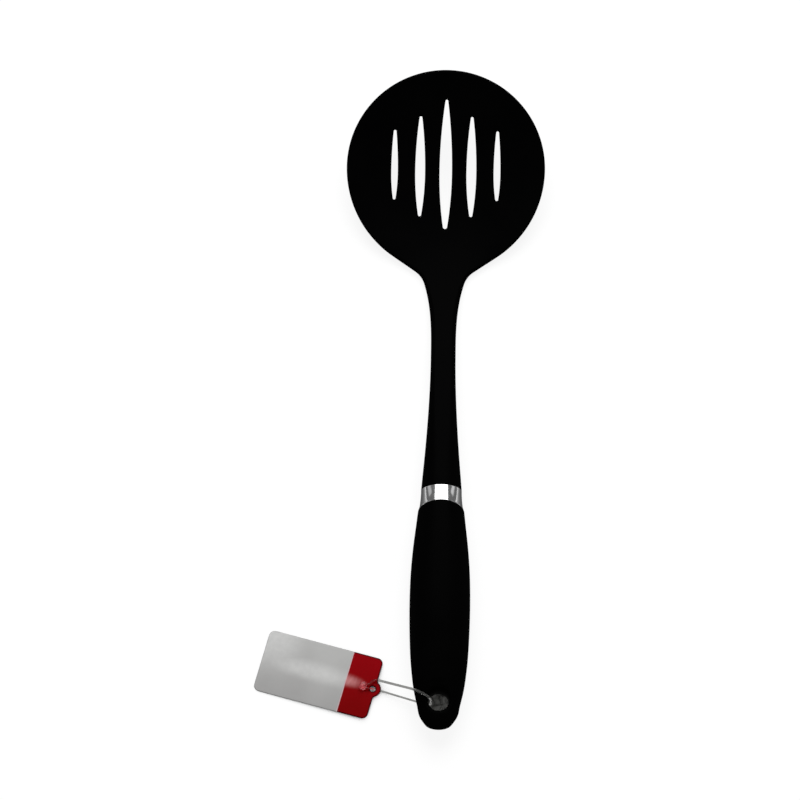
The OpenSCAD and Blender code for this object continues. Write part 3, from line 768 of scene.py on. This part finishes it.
# The rough body lies a skin's depth inside the true surface, and its last tenth leans into the
# arch. Its hole is drilled a skin wider, and the drill reaches this share of the grip's
# thickness each way.
SKIN, LEAST_EDGE_R, ARCH_FROM, ARCH_SHARE = 0.3, 0.2, 0.9, 0.1
DRILL_SIDES, DRILL_REACH, GRIP_NET = 48, 0.6, 0.7
rough_rows = []
for share, w, t in grip_curve[::2]:
    row = oval_ring(
        w * GRIP_W / 2 - SKIN, t * GRIP_T / 2 - SKIN,
        max(LEAST_EDGE_R, w * GRIP_W / 2 * OVAL_SHARE - SKIN),
        END_Y + SKIN / 2 + share * (GRIP_L - SKIN), n=25,
    )
    row[:, 1] -= end_arch(row[:, 0]) * eased((share - ARCH_FROM) / ARCH_SHARE)
    rough_rows.append(row)
grip = solid("soft_grip", *skinned(rough_rows), rubber)
around = np.linspace(0, 2 * math.pi, DRILL_SIDES + 1)[:-1]
drill_rows = []
for rise in np.linspace(-DRILL_REACH, DRILL_REACH, 41) * GRIP_T:
    r = hole_radius(abs(rise) - THROAT_L / 2)[0] + SKIN
    level = np.full(DRILL_SIDES, AXIS_Z + rise)
    drill_rows.append(np.stack([r * np.cos(around), HOLE_Y + r * np.sin(around), level], axis=1))
cut_by(grip, *skinned(drill_rows))
net_of_grip = grip.modifiers.new("net", "REMESH")
net_of_grip.mode = "VOXEL"
net_of_grip.voxel_size = GRIP_NET * MM
plain_mesh(grip)

# Every point of the net is moved along the rule's slope until it lies on the true surface. The
# slope is taken over a small step, and one pass moves a point no further than the longest move.
STEP, PASSES, LEAST_STEEP, LONGEST_MOVE = 0.02, 12, 0.04, 0.5
place = np.empty(len(grip.data.vertices) * 3)
grip.data.vertices.foreach_get("co", place)
place = place.reshape(-1, 3) / MM
for _ in range(PASSES):
    slope = np.stack([
        (grip_surface(place + STEP * axis) - grip_surface(place - STEP * axis)) / (2 * STEP)
        for axis in np.eye(3)
    ], axis=1)
    steep = np.maximum((slope**2).sum(axis=1), LEAST_STEEP)
    move = slope * (grip_surface(place) / steep)[:, None]
    length = np.linalg.norm(move, axis=1, keepdims=True)
    place -= move * np.minimum(1, LONGEST_MOVE / np.maximum(length, 1e-9))
grip.data.vertices.foreach_set("co", (place * MM).ravel())
grip.data.update()
grip.data.materials.clear()
grip.data.materials.append(rubber)

# The core's seat is cut out last, open to the ferrule, with a cutter that stands past the end.
CORE_W, CORE_T, CORE_L, CORE_EDGE_R, CUT_PAST = 16.0, 12.5, 89.0, 3.0, 2.0
turn = np.linspace(0, math.pi / 2, 9)
corner = np.stack([
    CORE_W / 2 - CORE_EDGE_R + (CORE_EDGE_R + FIT_GAP) * np.sin(turn),
    CORE_T / 2 - CORE_EDGE_R + (CORE_EDGE_R + FIT_GAP) * np.cos(turn),
], axis=1)
seat_line = np.concatenate([
    corner, (corner * (1, -1))[::-1], corner * (-1, -1), (corner * (-1, 1))[::-1],
])
cut_by(grip, *skinned([
    np.stack([seat_line[:, 0], np.full(len(seat_line), y), AXIS_Z + seat_line[:, 1]], axis=1)
    for y in (CORE_Y + CUT_PAST, CORE_Y - CORE_L - FIT_GAP)
]))
grip.data.shade_smooth()
grip.data.set_sharp_from_angle(angle=math.radians(50))
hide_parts("grip")
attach(grip, "tool")

# Swing tag
# A die-cut card, laminated on both sides, with rounded corners and a punched ear at one end. It is
# silver grey with a crimson band at the ear, set off by a pale line, and carries nothing else.
# The band's margin is darker, and a painted glare by the lock and painted sheen lie on the print.
TAG_L, TAG_W, TAG_T, TAG_CORNER_R = 60.1, 33.1, 0.5, 3.0
EAR_R, EAR_FILLET_R, TAG_HOLE_R, HOLE_INSET = 4.2, 2.0, 1.45, 1.3
TAG_EDGE_R, TAG_BORDER, CARD_CORE_T = 0.2, 1.0, 0.47
CRIMSON_L, PALE_LINE = 15.6, 0.45
# Painted highlights: how far ahead of the hole, how far aside, length, width, strength.
PAINTED_GLARE_BY_LOCK = (14.5, -1.0, 13.5, 4.8, 0.68)
PAINTED_SHEEN_MIDDLE = (32.0, -1.0, 42.0, 8.0, 0.7)
PAINTED_SHEEN_CORNER = (56.0, -14.0, 24.0, 26.0, 0.7)
# Painted light: the print is lighter towards one side of the tag and darker towards the other, by
# this much each way, up to this far from its middle line, and a painted sheen adds its share of a
# noise. The dark margin grows between these, up to its strength.
LIGHTER_SIDE_RISE, LIGHTER_SIDE_REACH, SHEEN_FROM, SHEEN_SHARE = 0.2, 16.0, 0.3, 0.4
MARGIN_FROM, MARGIN_FULL, MARGIN_STRENGTH = 0.25, 0.75, 0.8
TAG_HOLE = Vector((-33.5142, -151.137, 1.75))
TAG_ANGLE, TAG_LEAN = math.radians(165.0), math.radians(1.46186)


def arc(centre, r, start, stop, steps):
    """Points of an arc about the centre, between two angles in degrees."""
    a = np.radians(np.linspace(start, stop, steps + 1))
    return np.stack([centre[0] + r * np.cos(a), centre[1] + r * np.sin(a)], axis=1)


def tag_line(out):
    """The tag's outline from its hole, moved outwards by out."""
    near, far = TAG_CORNER_R - HOLE_INSET, TAG_L - HOLE_INSET - TAG_CORNER_R
    side, foot = TAG_W / 2 - TAG_CORNER_R, HOLE_INSET + EAR_FILLET_R
    ear_side = math.sqrt((EAR_R + EAR_FILLET_R) ** 2 - foot**2)
    ear_turn = math.degrees(math.atan(ear_side / foot))
    r, ear, fillet = TAG_CORNER_R + out, EAR_R + out, EAR_FILLET_R - out
    return np.concatenate([
        arc((far, side), r, 0, 90, 10),
        arc((near, side), r, 90, 180, 10),
        arc((-foot, ear_side), fillet, 0, -ear_turn, 10)[:-1],
        arc((0, 0), ear, 180 - ear_turn, 180 + ear_turn, 28),
        arc((-foot, -ear_side), fillet, ear_turn, 0, 10)[1:],
        arc((near, -side), r, 180, 270, 10),
        arc((far, -side), r, 270, 360, 10),
    ])


def hole_line(out):
    """The outline of the tag's hole, moved into the hole by out."""
    return arc((0, 0), TAG_HOLE_R - out, 0, 360, 40)[:-1]


def laid_down(line, z):
    """Points of the flat tag at the height z over its middle, set down where the tag lies."""
    turn = Matrix.Rotation(TAG_ANGLE, 3, "Z") @ Matrix.Rotation(TAG_LEAN, 3, "Y")
    return [TAG_HOLE + turn @ Vector((x, y, z)) for x, y in line]


tag_flat, tag_ties, loops = [], [], []
for line in (tag_line, hole_line):
    for inset in (TAG_EDGE_R, TAG_BORDER):
        start, n = len(tag_flat), len(line(0))
        tag_flat.extend(Vector(p) for p in line(-inset))
        tag_ties.extend((start + i, start + (i + 1) % n) for i in range(n))
        if inset == TAG_EDGE_R:
            loops.append((line, range(start, start + n)))
laid = delaunay_2d_cdt(tag_flat, tag_ties, [], INSIDE, SAME_POINT)
card_faces = [
    tuple(f)
    for f in laid[2]
    if sum((laid[0][i] for i in f), Vector((0, 0))).length / 3 > TAG_HOLE_R + TAG_EDGE_R
]
new_index = {old: new for new, o in enumerate(laid[3]) for old in o}
under = len(laid[0])
tag_points = laid_down(laid[0], TAG_T / 2) + laid_down(laid[0], -TAG_T / 2)
tag_faces = card_faces + [tuple(i + under for i in f[::-1]) for f in card_faces]
for line, ids in loops:
    rows = [[new_index[i] for i in ids]]
    for side, turns in ((1, (30, 60, 90)), (-1, (90, 60, 30))):
        for turn in np.radians(turns):
            rows.append(list(range(len(tag_points), len(tag_points) + len(ids))))
            z = side * (TAG_T / 2 - TAG_EDGE_R * (1 - math.cos(turn)))
            tag_points += laid_down(line(TAG_EDGE_R * (math.sin(turn) - 1)), z)
    rows.append([i + under for i in rows[0]])
    for upper, lower in zip(rows, rows[1:]):
        tag_faces += quads(upper, lower)


def measured_from(tree, where, centre, turn=(0.0, 0.0, 0.0), size=(1.0, 1.0, 1.0)):
    """A place as seen from a centre in millimetres, which has a turn and a size of its own."""
    return wired(
        tree, "ShaderNodeMapping",
        {"Vector": where, "Location": Vector(centre) * MM, "Rotation": turn, "Scale": size},
        vector_type="TEXTURE",
    ).outputs["Vector"]


def past(tree, place, value, soft=0.06):
    """Zero before a place in millimetres, one after it, with a soft edge."""
    return mapped(tree, value, (place - soft) * MM, (place + soft) * MM)


def printed(tree, share, below, above):
    """One printed colour over another."""
    mix = wired(tree, "ShaderNodeMix", {0: share, 6: below, 7: above}, data_type="RGBA")
    return mix.outputs[2]


card, tree, shader, where = surface("laminated_card")
on_tag = measured_from(tree, where, TAG_HOLE, turn=(0.0, TAG_LEAN, TAG_ANGLE))
from_hole, sideways, upward = wired(tree, "ShaderNodeSeparateXYZ", {"Vector": on_tag}).outputs
speckle = noise(tree, where, 400.0)
# Painted light: a painted sheen from a noise, and one side of the tag painted lighter.
sheen = drawn_out(tree, on_tag, (60.0, 9.0, 9.0), detail=1.0)
painted_lighter_side = mapped(tree, sideways, LIGHTER_SIDE_REACH * MM, -LIGHTER_SIDE_REACH * MM, -LIGHTER_SIDE_RISE, LIGHTER_SIDE_RISE)
painted_sheen = figured(tree, "MULTIPLY_ADD", sheen, SHEEN_SHARE, SHEEN_FROM)
painted_light_tone = figured(tree, "ADD", painted_sheen, painted_lighter_side)
crimson = ramp(tree, painted_light_tone, (0.25, 0.0003, 0.001), (0.36, 0.0008, 0.004))
pale = ramp(tree, speckle, (0.72, 0.5, 0.52), (0.8, 0.58, 0.6))
silver = ramp(tree, painted_light_tone, (0.48, 0.475, 0.47), (0.62, 0.62, 0.61))
band_end = CRIMSON_L - HOLE_INSET
print_end = band_end + PALE_LINE


def spot_at(ahead_of_hole, aside, length, width, most):
    """A soft oval spot on the tag, strongest at its middle."""
    size = (length * MM, width * MM, 1.0)
    off = measured_from(tree, on_tag, (ahead_of_hole, aside, 0.0), size=size)
    away = wired(tree, "ShaderNodeVectorMath", {0: off}, operation="LENGTH").outputs["Value"]
    return mapped(tree, away, 1.0, 0.0, high=most, shape="SMOOTHERSTEP")


in_band = past(tree, band_end, from_hole)
nearness = wired(tree, "ShaderNodeAttribute", attribute_name="nearness_to_edge").outputs["Fac"]
dark_margin = mapped(tree, nearness, MARGIN_FROM, MARGIN_FULL, high=MARGIN_STRENGTH)
bare_edge = printed(
    tree, in_band, ramp(tree, speckle, (0.02, 0.0, 0.002), (0.04, 0.002, 0.004)),
    ramp(tree, speckle, (0.1, 0.1, 0.1), (0.16, 0.16, 0.155)),
)
# Painted highlights: a pale painted glare on the band by the lock, and painted sheen on the
# silver.
painted_glare = ramp(tree, speckle, (0.94, 0.4, 0.4), (1.0, 0.5, 0.5))
painted_silver_sheen = ramp(tree, speckle, (0.8, 0.8, 0.79), (0.88, 0.88, 0.87))
glare_breakup = between(tree, drawn_out(tree, on_tag, (900.0, 300.0, 300.0), detail=4.0), 0.7, 1.0)
glare_by_lock = figured(tree, "MULTIPLY", spot_at(*PAINTED_GLARE_BY_LOCK), glare_breakup)
sheen_on_silver = figured(tree, "MAXIMUM", spot_at(*PAINTED_SHEEN_MIDDLE), spot_at(*PAINTED_SHEEN_CORNER))
margined = printed(tree, dark_margin, crimson, bare_edge)
band = printed(tree, in_band, printed(tree, glare_by_lock, margined, painted_glare), pale)
beyond = printed(tree, sheen_on_silver, silver, painted_silver_sheen)
print_with_painted_light = printed(tree, past(tree, print_end, from_hole), band, beyond)
skin = past(tree, CARD_CORE_T / 2, figured(tree, "ABSOLUTE", upward), soft=0.02)
put(tree, shader, {
    "Base Color": printed(tree, skin, bare_edge, print_with_painted_light),
    "Roughness": between(tree, speckle, 0.3, 0.36),
    "Specular IOR Level": 0.015,
    "Normal": bump(tree, noise(tree, where, 40.0, 1.0), strength=0.2, distance=0.001),
})

tag = solid("printed_tag", tag_points, tag_faces, card, sharp=50.0)
# The dark margin reads this: one on the faces' outer lines and round the edge, zero elsewhere.
edge_points = {new_index[i] for _, ids in loops for i in ids}
tag.data.attributes.new("nearness_to_edge", "FLOAT", "POINT").data.foreach_set("value", [
    float(i % under in edge_points or i >= 2 * under) for i in range(len(tag_points))
])
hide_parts("swing_tag")
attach(tag, "tag")

# Lock
# The loop's lock, moulded on the string's end in the same clear nylon: a small rounded block with
# a hole through it, into which the string's other end is pushed for good.
LOCK_L, LOCK_W, LOCK_H = 3.6, 4.2, 2.0
TAG_HOLE_U, LOCK_AHEAD, LOCK_Z = 34.9, 5.2, 3.2
LOCK_U = TAG_HOLE_U + LOCK_AHEAD
LOOP_ANGLE = math.radians(163.8)
LOCK_ROWS, ROW_INSET, SQUARENESS, CROWN = 9, 0.6, 0.6, 0.42


def ahead(u, left, height):
    """A point seen from the hanging hole with the tag ahead."""
    c, s = math.cos(LOOP_ANGLE), math.sin(LOOP_ANGLE)
    return Vector((u * c - left * s, HOLE_Y + u * s + left * c, height))


lock_rows = []
for k in range(LOCK_ROWS):
    rise = math.pi * ((k + ROW_INSET) / (LOCK_ROWS - 1 + 2 * ROW_INSET) - 0.5)
    grow = abs(math.cos(rise)) ** CROWN / 2
    ring = []
    for b in np.linspace(0, 2 * math.pi, 41)[:-1]:
        c, s = math.cos(b), math.sin(b)
        u = LOCK_U + math.copysign(abs(c) ** SQUARENESS, c) * LOCK_L * grow
        left = math.copysign(abs(s) ** SQUARENESS, s) * LOCK_W * grow
        ring.append(tuple(ahead(u, left, LOCK_Z + LOCK_H / 2 * math.sin(rise))))
    lock_rows.append(ring)

lock_nylon, tree, shader, where = surface("clear_nylon_lock")
flow = noise(tree, where, 260.0, 1.0)
put(tree, shader, {
    # The pink colour is painted light: it stands in for the band's red seen through the clear
    # nylon.
    "Base Color": ramp(tree, flow, (0.88, 0.26, 0.3), (0.95, 0.36, 0.4)),
    "Roughness": between(tree, flow, 0.14, 0.2),
    "Transmission Weight": 0.88,
    "IOR": 1.4,
    "Normal": bump(tree, flow, strength=0.08, distance=0.0002),
})
lock = solid("string_lock", *skinned(lock_rows), lock_nylon, sharp=60.0)
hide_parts("loop_lock")
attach(lock, "loop")

# Tag loop
# A thin clear nylon string, drawn thinner towards its tail, with the lock moulded on its root. It
# runs from the lock over the grip's front into the hanging hole, back behind the grip, up through
# the tag and into the lock. Over the tag's band it is painted reddish, standing in for the band's
# light seen through it, and elsewhere grey.
ROOT_D, TAIL_D, STRING_L = 1.25, 1.0, 88.0
# The points are those of the model's own source: ahead of the hanging hole, to the left, height.
STRING_ROUTE = [
    (38.25, -1.386, 3.2), (37.35, -1.386, 3.2), (35.98, -3.6, 3.2), (34, -4.77, 3.2),
    (31.75, -4.95, 3.2), (27.801, -4.289, 6.006), (23.852, -3.629, 8.813),
    (19.904, -2.968, 11.619), (15.955, -2.308, 14.426), (13.801, -1.733, 16.41),
    (11.722, -1.179, 17.69), (9.197, -0.506, 18.778), (6.747, 0.148, 19.162),
    (4.89, 0.643, 18.266), (3.925, 0.9, 15.898), (3.925, 0.9, 12.25), (3.925, 0.9, 8.602),
    (4.89, 0.9, 6.234), (6.747, 0.9, 5.339), (12.75, 0.54, 4.191), (18.753, 0.18, 3.044),
    (24.757, -0.18, 1.897), (30.76, -0.54, 0.75), (32.47, -0.27, 0.75), (33.82, -0.09, 0.873),
    (34.9, 0, 1.755), (35.98, 0.27, 2.686), (37.35, 0.84, 3.2), (38.25, 0.84, 3.2),
]
# It thins over a share of its length. Its painted reddish light starts this far ahead of the hole
# and this high.
BENDS, THIN_FROM, THIN_SHARE = 5, 0.4, 0.2
BAND_LIGHT_FROM, BAND_LIGHT_ABOVE = 33.7, 1.5


def through(points, steps):
    """A smooth line through the points, with that many steps between neighbours."""
    line = []
    for i in range(len(points) - 1):
        a, b = points[i], points[i + 1]
        before, after = points[max(i - 1, 0)], points[min(i + 2, len(points) - 1)]
        span = (b - a).length
        slope_a, slope_b = (b - before).normalized(), (after - a).normalized()
        line += [hermite(a, slope_a, b, slope_b, span, k / steps) for k in range(steps)]
    return line + [points[-1]]


string_line = [p * MM for p in through([ahead(*p) for p in STRING_ROUTE], BENDS)]
string_curve = bpy.data.curves.new("tag_string", "CURVE")
string_curve.dimensions = "3D"
# With this bevel, a point's radius is the string's thickness there in millimetres.
string_curve.bevel_depth = MM / 2
string_curve.bevel_resolution = 5
string_curve.use_fill_caps = True
string_spline = string_curve.splines.new("POLY")
string_spline.points.add(len(string_line) - 1)
for k, (point, at) in enumerate(zip(string_spline.points, string_line)):
    point.co = (*at, 1.0)
    thinned = eased((k / len(string_line) - THIN_FROM) / THIN_SHARE)
    point.radius = ROOT_D + (TAIL_D - ROOT_D) * thinned
string_spline.use_smooth = True
tag_string = bpy.data.objects.new("tag_string", string_curve)
scene.collection.objects.link(tag_string)

string_nylon, tree, shader, where = surface("clear_nylon_string")
flow = noise(tree, where, 900.0)
on_loop = measured_from(tree, where, (0.0, HOLE_Y, 0.0), turn=(0.0, 0.0, LOOP_ANGLE))
ahead_of_hole, _, height = wired(tree, "ShaderNodeSeparateXYZ", {"Vector": on_loop}).outputs
over_crimson = figured(
    tree, "MULTIPLY", past(tree, BAND_LIGHT_FROM, ahead_of_hole, soft=0.5),
    past(tree, BAND_LIGHT_ABOVE, height, soft=0.3),
)
# Painted light: reddish where the string lies over the band, as the band's light seen through it.
painted_band_light = ramp(tree, flow, (0.4, 0.05, 0.06), (0.52, 0.1, 0.11))
clear_grey = ramp(tree, flow, (0.27, 0.27, 0.262), (0.36, 0.36, 0.35))
put(tree, shader, {
    "Base Color": printed(tree, over_crimson, clear_grey, painted_band_light),
    "Roughness": between(tree, flow, 0.14, 0.2),
    "Transmission Weight": 0.85,
    "IOR": 1.2,
    "Normal": bump(tree, flow, strength=0.15, distance=0.0001),
})
string_curve.materials.append(string_nylon)
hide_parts("tag_loop")
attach(tag_string, "loop")

# Floor and light
# A plain white table. The camera sees it darker where the part shades or covers it, and a dark
# patch of painted shade lies under the handle's end, which shows in the hanging hole. Clear
# plastic sees it as white, and steel sees it with a painted shade close beside the part. A wide
# softbox hangs beyond the head.
FLOOR_SIZE, FLOOR_Z = 3000.0, -0.3
PAINTED_SHADE_AT, PAINTED_SHADE_R, PAINTED_SHADE_SOFT = HOLE_Y + 4.2, 6.2, 2.6
BESIDE_NEAR, BESIDE_FAR, BESIDE_DARK = 25.0, 240.0, 0.12
# The floor counts as covered by what is this near over it, from one share of open sky to
# another, and this ends at the ferrule, since the shank and the head lie higher.
COVER_REACH, COVERED, UNCOVERED, COVER_FADE = 8.0, 0.36, 0.54, 10.0
FLOOR_GLOW, FLOOR_LIT = 0.86, (0.2, 0.2, 0.2, 1.0)
SKY_LIGHT, SKY_MIRRORED, SKY_SEEN = 0.35, 0.16, 1.0
h = FLOOR_SIZE / 2 * MM
floor_mesh = bpy.data.meshes.new("floor")
floor_mesh.from_pydata(
    [(x, y, FLOOR_Z * MM) for x, y in ((-h, -h), (h, -h), (h, h), (-h, h))], [], [(0, 1, 2, 3)]
)
floor = bpy.data.objects.new("floor", floor_mesh)
scene.collection.objects.link(floor)


def either(tree, share, first, second):
    """The first shader, or the second where the share is one."""
    mix = wired(tree, "ShaderNodeMixShader", {0: share, 1: first, 2: second})
    return mix.outputs["Shader"]


table, tree, shader, where = surface("white_table")
put(tree, shader, {
    "Base Color": (0.8, 0.8, 0.8, 1.0), "Roughness": 0.9, "Specular IOR Level": 0.0,
})
ray = wired(tree, "ShaderNodeLightPath").outputs
distance = wired(
    tree, "ShaderNodeVectorMath", {0: where, 1: (0.0, PAINTED_SHADE_AT * MM, FLOOR_Z * MM)},
    operation="DISTANCE",
).outputs["Value"]
# Painted shade: a dark, swirled patch on the table under the handle's end.
swirl = wired(tree, "ShaderNodeTexNoise", {
    "Vector": where, "Scale": 190.0, "Detail": 2.0, "Distortion": 2.5,
}).outputs["Fac"]
painted_shade = ramp(tree, swirl, (0.05, 0.05, 0.048), (0.4, 0.4, 0.38))
away_from_hole = mapped(
    tree, distance, PAINTED_SHADE_R * MM, (PAINTED_SHADE_R + PAINTED_SHADE_SOFT) * MM, shape="SMOOTHSTEP"
)
beside, along_table, _ = wired(tree, "ShaderNodeSeparateXYZ", {"Vector": where}).outputs
towards_head = mapped(tree, along_table, (CORE_Y - COVER_FADE) * MM, CORE_Y * MM)
open_above = wired(
    tree, "ShaderNodeAmbientOcclusion", {"Distance": COVER_REACH * MM}, samples=4
).outputs["AO"]
not_covered = mapped(tree, open_above, COVERED, UNCOVERED)
uncovered = figured(tree, "MAXIMUM", not_covered, towards_head)
clear = figured(tree, "MULTIPLY", away_from_hole, uncovered)
seen_colour = printed(tree, away_from_hole, painted_shade, FLOOR_LIT)
seen = wired(tree, "ShaderNodeBsdfDiffuse", {"Color": seen_colour}).outputs["BSDF"]
glow = figured(tree, "MULTIPLY", clear, FLOOR_GLOW)
# Painted shade in what steel mirrors: the table is darker close beside the part.
mirrored = mapped(
    tree, figured(tree, "ABSOLUTE", beside), BESIDE_NEAR * MM, BESIDE_FAR * MM, low=BESIDE_DARK
)
glowing, to_steel, to_clear = (
    wired(tree, "ShaderNodeEmission", {"Strength": strength}).outputs["Emission"]
    for strength in (glow, mirrored, 1.0)
)
lifted = wired(tree, "ShaderNodeAddShader", {0: seen, 1: glowing}).outputs["Shader"]
lit = either(tree, ray["Is Camera Ray"], shader.outputs["BSDF"], lifted)
lit = either(tree, ray["Is Glossy Ray"], lit, to_steel)
lit = either(tree, ray["Is Transmission Ray"], lit, to_clear)
put(tree, tree.nodes["Material Output"], {"Surface": lit})
floor_mesh.materials.append(table)

world = bpy.data.worlds.new("studio")
scene.world = world
world.use_nodes = True
tree = world.node_tree
ray = wired(tree, "ShaderNodeLightPath").outputs
sky_light, sky_mirrored, sky_seen = (
    wired(tree, "ShaderNodeBackground", {"Color": (1, 1, 1, 1), "Strength": strength}).outputs[0]
    for strength in (SKY_LIGHT, SKY_MIRRORED, SKY_SEEN)
)
unlit = figured(tree, "MAXIMUM", ray["Is Camera Ray"], ray["Is Transmission Ray"])
sky = either(tree, ray["Is Glossy Ray"], sky_light, sky_mirrored)
put(tree, tree.nodes["World Output"], {"Surface": either(tree, unlit, sky, sky_seen)})


def softbox(name, side, rise, distance, width, height, power):
    """A rectangular lamp that faces the middle of the part from that side and height."""
    light = bpy.data.lights.new(name, "AREA")
    light.shape = "RECTANGLE"
    light.size, light.size_y = width, height
    light.energy = power
    lamp = bpy.data.objects.new(name, light)
    scene.collection.objects.link(lamp)
    a, e = math.radians(side), math.radians(rise)
    place = Vector((math.sin(a) * math.cos(e), math.cos(a) * math.cos(e), math.sin(e))) * distance
    lamp.matrix_world = (
        Matrix.Translation(place) @ (-place).to_track_quat("-Z", "Y").to_matrix().to_4x4()
    )


softbox("overhead", side=0.0, rise=53.0, distance=2.2, width=1.8, height=1.9, power=34.0)
softbox("left fill", side=-70.0, rise=27.0, distance=1.6, width=0.9, height=0.55, power=0.55)
softbox("right fill", side=70.0, rise=30.0, distance=1.6, width=0.9, height=0.5, power=0.75)
